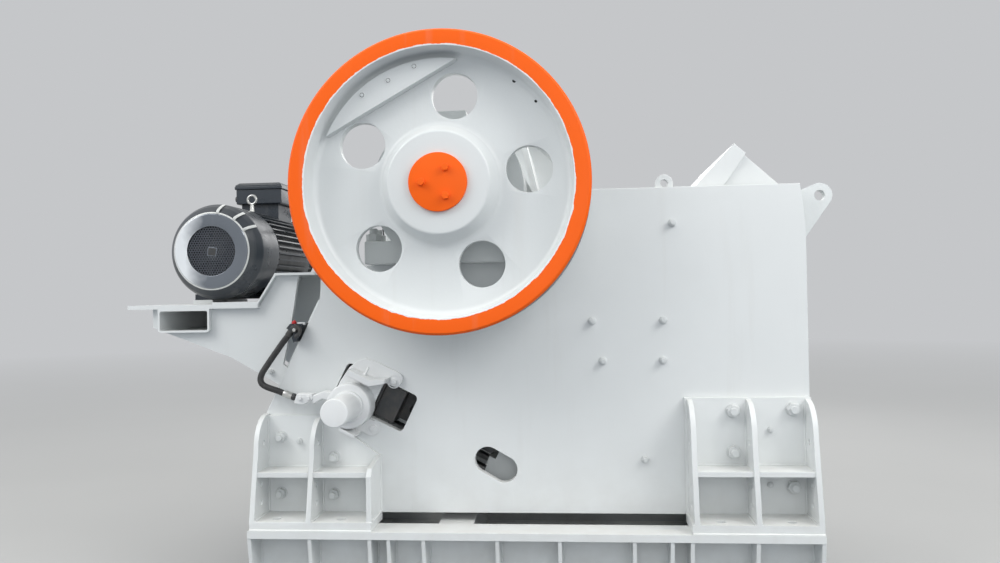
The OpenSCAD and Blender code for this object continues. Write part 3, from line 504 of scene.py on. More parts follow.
def cut(piece, *tools):
    """Takes the tools' shape out of a piece and deletes them."""
    for tool in tools:
        modifier(piece, "BOOLEAN", operation="DIFFERENCE", solver="EXACT", object=tool)
        bpy.data.objects.remove(tool)
    return piece


def towards(way, axis="Z", up="X"):
    """A turn that points an axis along a way."""
    return Vector(way).to_track_quat(axis, up).to_matrix().to_4x4()


def moved(piece, at, *turns):
    """The piece itself, turned about the origin and moved to a point."""
    matrix = Matrix.Translation(at)
    for turn in turns:
        matrix = matrix @ turn
    piece.matrix_world = matrix
    return settle(piece)


def twin(piece, matrix):
    """A copy with its own mesh, moved by a matrix."""
    other = piece.copy()
    other.data = piece.data.copy()
    bpy.context.scene.collection.objects.link(other)
    other.matrix_world = matrix
    return settle(other)


def joined(pieces, name, body="frame", stands_for=()):
    """Several pieces as one named piece that rides on a body."""
    pieces = list(pieces)
    only(*pieces)
    if len(pieces) > 1:
        bpy.ops.object.join()
    piece = bpy.context.view_layer.objects.active
    piece.name = piece.data.name = name
    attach(piece, body)
    if stands_for:
        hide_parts(*stands_for)
    return piece


def tint(piece, finish, test):
    """Another finish for the faces that pass a test of middle and normal."""
    piece.data.materials.append(FINISH[finish].mat)
    last = len(piece.data.materials) - 1
    for face in piece.data.polygons:
        if test(face.center, face.normal):
            face.material_index = last
    return piece


def eased_node(name, edge, steps=2, finish=None, angle=35.0, body="frame", first=None, thirds=False):
    """A copy of a CAD node with its triangles merged and its edges eased, which stands for it."""
    piece = bpy.data.objects.new(name + "_eased", NODES[name].data.copy())
    bpy.context.scene.collection.objects.link(piece)
    open_mesh(piece, "VERT", "SELECT")
    bpy.ops.mesh.remove_doubles(threshold=0.00002)
    bpy.ops.mesh.dissolve_limited(angle_limit=math.radians(0.6))
    if thirds:
        bpy.ops.mesh.quads_convert_to_tris(quad_method="BEAUTY", ngon_method="BEAUTY")
    close_mesh()
    settle(piece, finish or finish_of(name))
    if first:
        first(piece)
    soften(piece, edge, steps, angle)
    return joined([piece], name + "_eased", body, [name])


# A fixing made for the near side, turned for either side
OUTWARD = {-1: Matrix.Identity(4), 1: Matrix.Rotation(math.pi, 4, "Z")}


def hex_fixing(thread, across, nut, stub, washer, finish="bolt paint"):
    """A nut on its washer with the stud's end through it, facing -Y from the origin."""
    plate = 0.12 * thread
    ring = turned(rounded([(0.0001, 0), (washer, 0), (washer, -plate), (0.0001, -plate)],
                          [0, 0.001, 0.001, 0], 2), 24, finish, (0, 0, 0), closed=False)
    nothing_selected()
    bpy.ops.mesh.primitive_cylinder_add(vertices=6, radius=across / 2 / math.cos(math.pi / 6), depth=nut,
                                        location=(0, -plate - nut / 2, 0), rotation=(math.pi / 2, 0, 0))
    hexagon = bpy.context.object
    settle(hexagon, finish)
    open_mesh(hexagon)
    pick(hexagon, lambda f: f.normal.y < -0.9)
    bpy.ops.mesh.inset(thickness=across * 0.04, depth=across * 0.02)
    close_mesh()
    soften(hexagon, across * 0.025, 2)
    top = -plate - nut - across * 0.02
    r = thread / 2
    turns = [(r, top)]
    for k in range(max(2, int(stub / 0.005))):
        turns += [(r, top - 0.0012 - k * 0.005), (r * 0.92, top - 0.0032 - k * 0.005)]
    end = turns[-1][1] - 0.004
    stud = turned(turns + [(r, turns[-1][1] - 0.0018), (r * 0.93, end), (0.0001, end)], 20, finish,
                  (0, 0, 0), closed=False)
    return joined_loose([ring, hexagon, stud])


def joined_loose(pieces):
    only(*pieces)
    bpy.ops.object.join()
    return bpy.context.view_layer.objects.active


def hex_head(across, head, washer, finish="bolt paint"):
    """A plain hexagon bolt head on a washer, facing -Y from the origin."""
    plate = 0.09 * across
    ring = turned(rounded([(0.0001, 0), (washer, 0), (washer, -plate), (0.0001, -plate)],
                          [0, 0.001, 0.001, 0], 2), 24, finish, (0, 0, 0), closed=False)
    nothing_selected()
    bpy.ops.mesh.primitive_cylinder_add(vertices=6, radius=across / 2 / math.cos(math.pi / 6), depth=head,
                                        location=(0, -plate - head / 2, 0), rotation=(math.pi / 2, 0, 0))
    hexagon = bpy.context.object
    settle(hexagon, finish)
    open_mesh(hexagon)
    pick(hexagon, lambda f: f.normal.y < -0.9)
    bpy.ops.mesh.inset(thickness=across * 0.05, depth=across * 0.03)
    close_mesh()
    soften(hexagon, across * 0.02, 2)
    return joined_loose([ring, hexagon])


def set_out(master, places, name, body="frame", seed=1):
    """Copies of one fixing, each at a point with its axis along a direction and a turn of its own."""
    rng = random.Random(seed)
    copies = []
    for at, way in places:
        spin = Matrix.Rotation(rng.uniform(0, math.pi), 4, "Y")
        copies.append(twin(master, Matrix.Translation(at) @ towards(way, "-Y", "Z") @ spin))
    bpy.data.objects.remove(master)
    return joined(copies, name, body)


def bead(start, end, size, finish="weld paint", pitch=0.011):
    """A weld seam: one ripple repeated along a line."""
    start, end = Vector(start), Vector(end)
    nothing_selected()
    bpy.ops.mesh.primitive_cylinder_add(vertices=8, radius=size, depth=pitch, end_fill_type="NOTHING",
                                        location=(0, 0, pitch / 2))
    piece = bpy.context.object
    settle(piece, finish)
    open_mesh(piece, "EDGE")
    pick(piece, lambda e: abs(e.verts[0].co.z - e.verts[1].co.z) > pitch / 2, "EDGE")
    bpy.ops.mesh.subdivide(number_cuts=1)
    pick(piece, lambda v: abs(v.co.z - pitch / 2) < 0.0001, "VERT")
    bpy.ops.transform.resize(value=(1.2, 1.2, 1.0), center_override=(0, 0, pitch / 2))
    close_mesh()
    modifier(piece, "ARRAY", count=max(1, round((end - start).length / pitch)), use_relative_offset=False,
             use_constant_offset=True, constant_offset_displace=(0, 0, pitch), use_merge_vertices=True,
             merge_threshold=0.0001)
    open_mesh(piece, "VERT", "SELECT")
    bpy.ops.mesh.fill_holes(sides=12)
    close_mesh()
    moved(piece, start, towards(end - start))
    return smooth(piece, 60)


# ---------------------------------------------------------------- hose
HOSE_R = 0.018
HOSE_PATH = [
    (-0.9577, -0.7400, 1.5410), (-0.9676, -0.7400, 1.5271), (-0.9776, -0.7400, 1.5131),
    (-1.0146, -0.7440, 1.4661), (-1.0436, -0.7500, 1.4241), (-1.0716, -0.7580, 1.3831),
    (-1.0976, -0.7670, 1.3421), (-1.1176, -0.7750, 1.3101), (-1.1286, -0.7820, 1.2841),
    (-1.1306, -0.7880, 1.2591), (-1.1206, -0.7920, 1.2371), (-1.0976, -0.7940, 1.2211),
    (-1.0626, -0.7950, 1.2081), (-1.0256, -0.7950, 1.1961), (-0.9906, -0.7950, 1.1821),
    (-0.9636, -0.7950, 1.1721), (-0.9396, -0.7950, 1.1641), (-0.9256, -0.7950, 1.1591),
    (-0.9117, -0.7950, 1.1542),
]


def along(points, steps=3):
    """Points of a smooth line through the given ones."""
    points = [Vector(p) for p in points]
    out = []
    for i in range(len(points) - 1):
        a, b = points[max(i - 1, 0)], points[i]
        c, d = points[i + 1], points[min(i + 2, len(points) - 1)]
        for k in range(steps):
            t = k / steps
            out.append(0.5 * (2 * b + (c - a) * t + (2 * a - 5 * b + 4 * c - d) * t * t
                              + (3 * b - a - 3 * c + d) * t ** 3))
    return out + [points[-1]]


def make_hose():
    """The hydraulic hose, with its ferrules and end fittings."""
    line = bpy.data.curves.new("hydraulic_hose_run", "CURVE")
    line.dimensions = "3D"
    line.bevel_depth = HOSE_R
    line.bevel_resolution = 5
    line.use_fill_caps = True
    points = along(HOSE_PATH, 2)
    spline = line.splines.new("POLY")
    spline.points.add(len(points) - 1)
    for knot, at in zip(spline.points, points):
        knot.co = (*at, 1)
    spline.use_smooth = True
    hose = bpy.data.objects.new("hydraulic_hose_run", line)
    bpy.context.scene.collection.objects.link(hose)
    line.materials.append(FINISH["hose"].mat)
    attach(hose, "frame")
    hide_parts("hydraulic_hose")
    length = sum((b - a).length for a, b in zip(points, points[1:]))

    end, way = Vector(HOSE_PATH[-1]), Vector((0.942, 0, -0.336))
    lower = [
        bar(Vector(HOSE_PATH[-5]), Vector(HOSE_PATH[-3]), 0.0215, "zinc", 24, 0.002),
        bar(end - way * 0.026, end - way * 0.010, 0.0225, "dark steel", 6, 0.0015),
        bar(end - way * 0.010, end + way * 0.002, 0.0165, "dark steel", 20),
    ]
    top, back = Vector(HOSE_PATH[0]), Vector((-0.581, 0, -0.814))
    upper = [
        bar(top - back * 0.002, top + back * 0.036, 0.0205, "dark steel", 24, 0.002),
        bar((-0.930, -0.768, 1.552), (-0.930, -0.792, 1.552), 0.023, "dark steel", 6, 0.002),
        bar((-0.924, -0.786, 1.547), (-0.924, -0.800, 1.547), 0.010, "zinc", 20, 0.002),
        bar((-0.940, -0.750, 1.578), (-0.936, -0.750, 1.596), 0.0135, "red", 24, 0.002),
        bar((-0.936, -0.750, 1.594), (-0.935, -0.750, 1.603), 0.010, "red", 24, 0.002, 0.004),
        block((-0.921, -0.752, 1.574), (-0.874, -0.738, 1.589), "frame paint", 0.003),
    ]
    section = [(0.020, -0.011), (0.042, -0.011), (0.042, 0.011), (0.020, 0.011)]
    elbow = turned(rounded(section, [0.008] * 4, 4), 40, "dark steel", (-0.926, -0.781, 1.540))
    open_mesh(elbow)
    pick(elbow, lambda f: f.calc_center_median().x < -0.924)
    bpy.ops.mesh.delete(type="FACE")
    bpy.ops.mesh.select_all(action="SELECT")
    bpy.ops.mesh.fill_holes(sides=24)
    close_mesh()
    fittings_low = joined(lower, "hose_fittings_low", "frame")
    fittings_top = joined(upper + [elbow], "hose_fittings_top", "frame")


# ---------------------------------------------------------------- wheels
def wheel_section(grooved):
    """The wheel's rim, web and hub, as radius and distance out from the machine's middle."""
    points = [((0.140, HUB_IN), 0), ((0.300, HUB_IN), 0.008), ((0.324, WEB_IN), 0.022),
              ((0.693, WEB_IN), 0.022), ((RIM_R, WHEEL_IN), 0.004), ((0.788, WHEEL_IN), 0.003),
              ((WHEEL_R, WHEEL_IN + 0.012), 0.003)]
    if grooved:
        first = WHEEL_IN + 0.020
        for i in range(8):
            middle = first + (i + 0.5) * 0.035
            points += [((WHEEL_R, middle - 0.014), 0.0012), ((WHEEL_R - 0.026, middle - 0.0084), 0.0012),
                       ((WHEEL_R - 0.026, middle + 0.0084), 0.0012), ((WHEEL_R, middle + 0.014), 0.0012)]
    points += [((WHEEL_R, WHEEL_OUT - 0.012), 0.003), ((0.788, WHEEL_OUT), 0.003),
               ((RIM_R, WHEEL_OUT), 0.004), ((0.6955, WEB_OUT), 0.032), ((0.321, WEB_OUT), 0.034),
               ((0.273, HUB_OUT), 0.016), ((0.140, HUB_OUT), 0)]
    return rounded([p for p, r in points], [r for p, r in points], 2 if grooved else 6)


def make_wheel(name, far):
    side = 1 if far else -1
    wheel = turned(wheel_section(far), 144, "wheel paint", flip=side)
    tools = []
    for i in range(5):
        angle = math.radians(8.4 + 72 * i)
        nothing_selected()
        bpy.ops.mesh.primitive_cylinder_add(
            vertices=72, radius=HOLE_R, depth=0.2, rotation=(math.pi / 2, 0, 0),
            location=(HOLE_AT * math.cos(angle), side * (WEB_IN + WEB_OUT) / 2,
                      SHAFT_Z + HOLE_AT * math.sin(angle)))
        tools.append(settle(bpy.context.object, "wheel paint"))
    cut(wheel, joined_loose(tools))
    modifier(wheel, "BEVEL", width=0.003, segments=2, limit_method="ANGLE", angle_limit=math.radians(60))
    smooth(wheel, 32)

    def reach(c):
        return math.hypot(c.x, c.z - SHAFT_Z)
    tint(wheel, "rim paint", lambda c, n: (side * n.y > 0.5 and reach(c) > RIM_R - 0.001
                                           and side * c.y > WHEEL_OUT - 0.02))
    tint(wheel, "rim black", lambda c, n: reach(c) > 0.772 and side * n.y < 0.5)
    return joined([wheel], name + "_turned", "shaft", [name])


def wheel_point(radius, degrees, out, side=-1):
    angle = math.radians(degrees)
    return Vector((radius * math.cos(angle), side * out, SHAFT_Z + radius * math.sin(angle)))


def make_wheel_fittings():
    """The caps with their bolts, the counterweight's screws, and near-black discs of painted shade on the
    web's small holes.
    """
    for name, side in (("flywheel_cap", -1), ("sheave_cap", 1)):
        face = HUB_OUT + 0.020
        disc = turned(rounded([(0.0001, HUB_OUT), (0.155, HUB_OUT), (0.155, face), (0.0001, face)],
                              [0, 0.001, 0.003, 0], 3), 96, "cap paint", closed=False, flip=side)
        heads = []
        for k, degrees in enumerate((60, 180, -60)):
            heads.append(moved(hex_head(0.036, 0.020, 0.022, "cap paint"),
                               wheel_point(0.086, degrees, face, side),
                               OUTWARD[side], Matrix.Rotation(0.35 + 0.5 * k, 4, "Y")))
        joined([disc] + heads, name + "_bolted", "shaft", [name])
    screws = []
    for x, z in ((-0.410, 2.807), (-0.267, 2.880), (-0.126, 2.950)):
        y = -(WEB_OUT + 0.055)
        ring = turned(rounded([(0.012, 0), (0.019, 0), (0.019, -0.0022), (0.012, -0.0022)], [0.0008] * 4, 2),
                      28, "wheel paint", (x, y, z))
        # A near-black disc in the gap round each screw: painted shade
        pit = turned([(0.0001, -0.0005), (0.0122, -0.0005), (0.0122, 0.0), (0.0001, 0.0)], 28, "dark slot",
                     (x, y, z), closed=False)
        core = turned(rounded([(0.0001, 0), (0.0095, 0), (0.0095, -0.0045), (0.0001, -0.0045)],
                              [0, 0, 0.001, 0], 2), 24, "wheel paint", (x, y, z), closed=False)
        screws += [ring, pit, core]
    joined(screws, "counterweight_screws", "shaft")
    # Near-black discs on the web's small holes: painted shade
    hole_shades = []
    for x, z, r in ((0.369, 2.903, 0.007), (0.403, 2.867, 0.010), (0.515, 2.753, 0.007)):
        for side in (-1, 1):
            hole_shades.append(turned([(0.0001, -0.0010), (r, -0.0010), (r * 1.25, 0.0), (0.0001, 0.0)], 20,
                                "dark slot", (side * -x, side * WEB_OUT, z), closed=False, flip=-side))
    joined(hole_shades, "web_hole_shades", "shaft")


# ---------------------------------------------------------------- motor
def make_cowl():
    """The fan cowl: a pressed shell with its perforated grille."""
    z, y = MOTOR.z, COWL_Y
    points = [((0.160, 0.012), 0.001), ((0.160, 0.001), 0.003), ((0.238, 0.000), 0.005),
              ((0.244, 0.006), 0.003), ((0.252, 0.010), 0.006), ((0.290, 0.056), 0.04),
              ((MOTOR_R, 0.100), 0.05), ((MOTOR_R, 0.390), 0.0015), ((0.3085, 0.390), 0.0015),
              ((0.3085, 0.102), 0.04), ((0.286, 0.062), 0.03), ((0.246, 0.020), 0.004),
              ((0.170, 0.020), 0.002)]
    shell = turned(rounded([p for p, r in points], [r for p, r in points], 5), 120, "motor paint",
                   (MOTOR.x, y, z))
    tint(shell, "cowl ring", lambda c, n: n.y < -0.6 and math.hypot(c.x - MOTOR.x, c.z - z) < 0.242)
    # Painted highlight: a pale band on the rounded rim between the ring and the shoulder
    tint(shell, "seam", lambda c, n: n.y < -0.2 and 0.2415 < math.hypot(c.x - MOTOR.x, c.z - z) < 0.2535)
    # A near-black disc at the back of the cowl's inside: painted shade
    back = turned([(0.0001, 0.360), (0.3080, 0.360), (0.3080, 0.376), (0.0001, 0.376)], 72, "dark slot",
                  (MOTOR.x, y, z), closed=False)
    fan = turned(rounded([(0.0001, 0.060), (0.060, 0.060), (0.070, 0.075), (0.070, 0.200), (0.0001, 0.200)],
                         [0, 0.006, 0.006, 0, 0], 3), 48, "dark steel", (MOTOR.x, y, z), closed=False)
    blades = []
    for k in range(9):
        blade = block((0.060, -0.0025, -0.045), (0.150, 0.0025, 0.045), "dark steel", 0.001)
        blades.append(moved(blade, (MOTOR.x, y + 0.110, z), Matrix.Rotation(math.radians(40 * k), 4, "Y"),
                            Matrix.Rotation(math.radians(35), 4, "X")))
    # Three raised seams on the shoulder; their pale colour is a painted highlight
    seams = []
    for degrees in (31.5, 53.0, 80.0):
        strip = block((0.250, -0.003, -0.0095), (0.313, 0.003, 0.0095), "seam", 0.0014)
        open_mesh(strip, "EDGE")
        pick(strip, lambda e: abs(e.verts[0].co.x - e.verts[1].co.x) > 0.03, "EDGE")
        bpy.ops.mesh.subdivide(number_cuts=6)
        close_mesh()
        for corner in strip.data.vertices:
            t = min(max((corner.co.x - 0.250) / 0.062, 0), 1)
            corner.co.y += 0.006 + 0.088 * t ** 1.9
        seams.append(moved(strip, (MOTOR.x, y, z), Matrix.Rotation(math.radians(-degrees), 4, "Y")))
    joined([shell, back, fan] + blades + seams, "fan_cowl_pressed", "frame", ["fan_cowl"])

    pitch, hole = 0.0170, 0.0070
    nothing_selected()
    bpy.ops.mesh.primitive_circle_add(vertices=6, radius=pitch / 2 / math.cos(math.pi / 6))
    cell = bpy.context.object
    open_mesh(cell, "VERT", "SELECT")
    bpy.ops.transform.rotate(value=math.pi / 6, orient_axis="Z", center_override=(0, 0, 0))
    bpy.ops.mesh.extrude_edges_move()
    size = hole / (pitch / 2 / math.cos(math.pi / 6))
    bpy.ops.transform.resize(value=(size, size, 1), center_override=(0, 0, 0))
    close_mesh()
    count = 22
    modifier(cell, "ARRAY", count=count, use_relative_offset=False, use_constant_offset=True,
             constant_offset_displace=(pitch, 0, 0), use_merge_vertices=True, merge_threshold=0.0002)
    other = twin(cell, Matrix.Translation((pitch / 2, pitch * math.sin(math.pi / 3), 0)))
    cell = joined_loose([cell, other])
    modifier(cell, "ARRAY", count=count // 2 + 2, use_relative_offset=False, use_constant_offset=True,
             constant_offset_displace=(0, 2 * pitch * math.sin(math.pi / 3), 0))
    open_mesh(cell, "VERT", "SELECT")
    bpy.ops.mesh.remove_doubles(threshold=0.0002)
    close_mesh()
    low = Vector([min(v.co[i] for v in cell.data.vertices) for i in range(3)])
    high = Vector([max(v.co[i] for v in cell.data.vertices) for i in range(3)])
    cell.location = -(low + high) / 2
    settle(cell)
    open_mesh(cell)
    pick(cell, lambda f: f.calc_center_median().length > 0.160)
    bpy.ops.mesh.delete(type="FACE")
    close_mesh()
    modifier(cell, "SOLIDIFY", thickness=0.003, offset=0)
    settle(moved(cell, (MOTOR.x, y + 0.011, z), Matrix.Rotation(math.pi / 2, 4, "X")), "grille")
    open_mesh(cell, "VERT", "SELECT")
    bpy.ops.mesh.normals_make_consistent(inside=False)
    close_mesh()
    plate = block((-0.026, -0.004, -0.024), (0.026, 0.003, 0.024), "dark steel", 0.003)
    rim = block((-0.031, -0.002, -0.029), (0.031, 0.001, 0.029), "cowl ring", 0.002)
    for piece in (plate, rim):
        moved(piece, (MOTOR.x + 0.004, y + 0.009, z - 0.004), Matrix.Rotation(math.radians(8), 4, "Y"))
    joined([cell, plate, rim], "cowl_grille", "frame")


def make_motor():
    eased_node("motor_body", 0.0012, 1)
    x, y, z = MOTOR.x, 0.680, MOTOR.z + MOTOR_R + 0.078
    body = block((x - 0.172, y - 0.172, z), (x + 0.172, y + 0.172, z + 0.114), "motor paint", 0.010, 3)
    lip = block((x - 0.180, y - 0.180, z + 0.110), (x + 0.180, y + 0.180, z + 0.134), "motor paint", 0.005, 3)
    lid = block((x - 0.175, y - 0.175, z + 0.132), (x + 0.175, y + 0.175, z + 0.160), "motor paint", 0.001, 1)
    open_mesh(lid)
    pick(lid, lambda f: f.normal.z > 0.9)
    bpy.ops.mesh.inset(thickness=0.022)
    close_mesh()
    for corner in lid.data.vertices:
        if corner.co.z > z + 0.15 and max(abs(corner.co.x - x), abs(corner.co.y - y)) > 0.165:
            corner.co.z -= 0.018
    even_shade(lid)
    # A near-black band under the lid's lip: painted shade of the gap
    lid_gap_shade = block((x - 0.1705, y - 0.1705, z + 0.106), (x + 0.1705, y + 0.1705, z + 0.116), "dark slot", 0.002)
    parts = [body, lip, lid, lid_gap_shade]
    for dx in (-0.150, 0.150):
        for dy in (-0.150, 0.150):
            parts.append(moved(hex_head(0.016, 0.009, 0.012, "motor paint"), (x + dx, y + dy, z + 0.140),
                               Matrix.Rotation(-math.pi / 2, 4, "X")))
    joined(parts, "terminal_box_pressed", "frame", ["terminal_box"])
    glands = []
    for dy in (-0.07, 0.07):
        at = Vector((x - 0.171, y + dy, z + 0.050))
        for near, far, radius, sides, edge in ((0, 0.008, 0.034, 24, 0.002), (0.008, 0.030, 0.030, 6, 0.002),
                                               (0.030, 0.042, 0.021, 24, 0.003)):
            glands.append(bar(at - Vector((near, 0, 0)), at - Vector((far, 0, 0)), radius, "dark steel",
                              sides, edge))
    joined(glands, "box_glands", "frame")

    eye = Vector((-1.614, 0.340, 2.446))
    nothing_selected()
    bpy.ops.mesh.primitive_torus_add(major_radius=0.031, minor_radius=0.0088, major_segments=40,
                                     minor_segments=14, location=eye, rotation=(math.pi / 2, 0, 0))
    ring = settle(bpy.context.object, "zinc")
    smooth(ring, 60)
    foot = MOTOR.z + 0.285
    tall = eye.z - 0.030 - foot
    section = [(0.0001, 0), (0.030, 0), (0.030, 0.014), (0.017, 0.030), (0.012, tall), (0.0001, tall)]
    stem = turned(rounded(section, [0, 0, 0.004, 0.008, 0, 0], 4), 28, "zinc", (0, 0, 0), closed=False)
    moved(stem, (eye.x, eye.y, foot), Matrix.Rotation(math.pi / 2, 4, "X"))
    joined([ring, stem], "motor_lifting_eye", "frame")

    places = []
    for fx in (-0.254, 0.254):
        for fy in (0.170, 0.430, 0.660):
            places.append(((MOTOR.x + fx, fy, MOTOR.z - 0.315 + 0.040), (0, 0, 1)))
    set_out(hex_fixing(0.024, 0.036, 0.020, 0.012, 0.022, "dark steel"), places, "motor_foot_bolts", "frame",
            5)


def round_tube(piece):
    """Rounds the long corners of the bracket's cross tube, inside and out."""
    def along(corners):
        def test(edge):
            a, b = (v.co for v in edge.verts)
            return abs(a.y - b.y) > 0.005 and any(
                max(abs(a.x - x), abs(b.x - x), abs(a.z - z), abs(b.z - z)) < 0.0006 for x, z in corners)
        return test
    open_mesh(piece, "EDGE")
    pick(piece, along(((-1.789, 1.537), (-1.469, 1.537))), "EDGE")
    bpy.ops.mesh.bevel(offset=0.020, segments=5)
    pick(piece, along(((-1.777, 1.549), (-1.481, 1.549), (-1.777, 1.665), (-1.481, 1.665))), "EDGE")
    bpy.ops.mesh.bevel(offset=0.010, segments=4)
    close_mesh()


def make_bracket():
    bracket = eased_node("motor_bracket", 0.003, first=round_tube)
    tint(bracket, "motor paint", lambda c, n: c.y < -0.677 and -0.985 < c.x < -0.870 and 1.46 < c.z < 1.60)


# ---------------------------------------------------------------- bolts
PLATE_BOLTS = ((1.255, 2.120), (0.794, 1.572), (1.194, 1.572), (0.852, 1.344), (1.189, 1.346), (1.078, 0.788))
REAR_BOLTS = ((-1.023, 0.923), (-0.708, 0.807), (-1.027, 0.597), (-0.711, 0.593))
FRONT_BOLTS = ((1.563, 1.063), (1.564, 0.835), (1.888, 1.072), (1.884, 0.643))
SMALL_BOLTS = ((-0.915, 0.899), (-0.855, 0.602), (1.767, 0.957), (1.760, 0.653))


def both_sides(points, y):
    """The same places on the near and the far side, with the way out."""
    return [((x, side * y, z), (0, side, 0)) for x, z in points for side in (-1, 1)]


def make_bolts():
    face = PLATE_Y + 0.028
    for name, sizes, places, seed in (
            ("cheek_plate_bolts", (0.024, 0.036, 0.020, 0.014, 0.024), both_sides(PLATE_BOLTS, PLATE_Y), 11),
            ("rear_foot_bolts", (0.036, 0.055, 0.030, 0.022, 0.035), both_sides(REAR_BOLTS, face), 12),
            ("front_foot_bolts", (0.042, 0.065, 0.034, 0.024, 0.041), both_sides(FRONT_BOLTS, face), 13),
            ("foot_small_bolts", (0.020, 0.030, 0.014, 0.008, 0.018),
             both_sides(SMALL_BOLTS, face) + both_sides(((-1.106, 1.298),), 0.675), 14)):
        set_out(hex_fixing(*sizes), places, name, seed=seed)
    cover = []
    for side in (-1, 1):
        for k in range(12):
            angle = math.radians(15 + 30 * k)
            cover.append(((0.268 * math.cos(angle), side * 0.892, SHAFT_Z + 0.268 * math.sin(angle)),
                          (0, side, 0)))
    set_out(hex_head(0.030, 0.016, 0.018, "bolt paint"), cover, "housing_cover_bolts", seed=15)
    seat = []
    for side in (-1, 1):
        for x in (-0.445, 0.445):
            for y in (0.680, 0.800):
                seat.append(((x, side * y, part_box("bearing_housing_near")[0].z + 0.130), (0, 0, 1)))
    set_out(hex_fixing(0.048, 0.075, 0.038, 0.030, 0.046), seat, "housing_seat_bolts", seed=16)


# ---------------------------------------------------------------- setting cylinders
def side_pieces(make, name, stands_for=None):
    """A group of pieces made for the near side, and the same turned to the far side by a half mirror."""
    near = make(-1)
    joined(near, name + "_near", "frame", [stands_for + "_near"] if stands_for else ())
    far = make(1)
    joined(far, name + "_far", "frame", [stands_for + "_far"] if stands_for else ())


def cylinder_parts(side):
    """The barrel and drum of one setting cylinder, with its gland ring and port block."""
    y = side * PLATE_Y
    c = Vector((CYLINDER.x, y, CYLINDER.z))
    drum = turned(rounded([(0.0001, 0.022), (0.128, 0.022), (0.128, 0.150), (0.0001, 0.150)],
                          [0, 0.002, 0.009, 0], 4), 72, "cylinder paint", c, closed=False, flip=side)
    barrel = turned(rounded([(0.0001, 0.022), (0.079, 0.022), (0.077, 0.422), (0.0001, 0.422)],
                            [0, 0, 0.006, 0], 4), 64, "cylinder paint", c, closed=False, flip=side)
    ring = turned(rounded([(0.070, 0.150), (0.092, 0.150), (0.088, 0.160), (0.070, 0.164)],
                          [0, 0.002, 0.003, 0], 3), 64, "cylinder paint", c, flip=side)
    port_y = side * 0.795
    body = slab([(PORT.x + x, PORT.z + z) for x, z in (
        (0.005, 0.048), (-0.015, -0.008), (0.042, -0.017), (0.100, 0.015), (0.095, 0.047))],
        port_y - 0.035, port_y + 0.035, "cylinder paint", 0.005, 3)
    neck = slab([(PORT.x + x, PORT.z + z) for x, z in (
        (0.075, 0.030), (0.165, 0.062), (0.240, 0.050), (0.240, 0.0), (0.150, 0.015), (0.099, -0.014))],
        port_y - 0.030, port_y + 0.030, "cylinder paint", 0.007, 3)
    parts = [drum, barrel, ring, body, neck]
    for dx, dz in ((0.024, 0.022), (0.072, 0.024)):
        parts.append(moved(hex_head(0.022, 0.011, 0.014, "cylinder paint"),
                           (PORT.x + dx, port_y + side * 0.035, PORT.z + dz), OUTWARD[side]))
    return parts


def bracket_parts(side):
    """Bolts on the cylinder bracket's ears, and the bent hood over the drum with its stud."""
    parts = []
    for x, z in ((-0.352, 1.239), (-0.477, 0.974)):
        at = (x, side * 0.742, z)
        parts.append(moved(hex_head(0.030, 0.016, 0.022, "cylinder paint"), at, OUTWARD[side],
                           Matrix.Rotation(0.3, 4, "Y")))
        parts.append(turned(rounded([(0.034, 0), (0.040, 0), (0.040, 0.003), (0.034, 0.003)], [0.001] * 4, 2),
                            40, "cylinder paint", at, flip=side))
    outline = ((-0.197, 0.070), (-0.048, 0.070), (0.026, 0.122), (0.020, 0.148), (-0.057, 0.107),
               (-0.199, 0.106))
    points = [toggle_point(s, t) for s, t in outline]
    parts.append(slab([(p.x, p.z) for p in points], side * 0.742, side * 0.870, "cylinder paint", 0.004, 3))
    y = side * 0.790
    for low, high, radius, sides in ((0.104, 0.152, 0.007, 20), (0.105, 0.116, 0.014, 6)):
        parts.append(bar(toggle_point(-0.110, low, y), toggle_point(-0.110, high, y), radius,
                         "cylinder paint", sides))
    return parts


def hood_off(side):
    """Takes the plain hood off a bracket's copy, where bracket_parts puts the bent one."""
    def work(piece):
        low, high = sorted((0.742 * side, 0.880 * side))
        tool = block((-0.191, low, 0.1315), (0.001, high, 0.1505), "cylinder paint", 0)
        cut(piece, moved(tool, WINDOW, Matrix.Rotation(TILT, 4, "Y")))
        open_mesh(piece, "VERT", "SELECT")
        bpy.ops.mesh.remove_doubles(threshold=0.00002)
        bpy.ops.mesh.dissolve_limited(angle_limit=math.radians(0.6))
        close_mesh()
    return work


# ---------------------------------------------------------------- springs
def make_springs():
    """Two coil springs on the tension rods, with their end washers."""
    parts = []
    for y in (-0.165, 0.165):
        start, end = toggle_point(-0.420, -0.215, y), toggle_point(-0.140, -0.215, y)
        nothing_selected()
        bpy.ops.mesh.primitive_circle_add(vertices=10, radius=0.008, location=(0.049, 0, 0),
                                          rotation=(math.pi / 2, 0, 0))
        coil = settle(bpy.context.object, "dark steel")
        run = (end - start).length - 0.024
        modifier(coil, "SCREW", axis="Z", angle=2 * math.pi, screw_offset=run / 9, iterations=9, steps=24,
                 render_steps=24, use_smooth_shade=True)
        open_mesh(coil, "VERT", "SELECT")
        bpy.ops.mesh.fill_holes(sides=12)
        bpy.ops.mesh.select_all(action="SELECT")
        bpy.ops.mesh.normals_make_consistent(inside=False)
        close_mesh()
        moved(coil, start + (end - start).normalized() * 0.012, towards(end - start, "Z", "Y"))
        parts.append(smooth(coil, 60))
        for at, to in ((start, start.lerp(end, 0.035)), (end.lerp(start, 0.035), end)):
            parts.append(bar(at, to, 0.057, "dark steel", 32, 0.002))
    joined(parts, "tension_springs_coiled", "frame", ["tension_springs"])


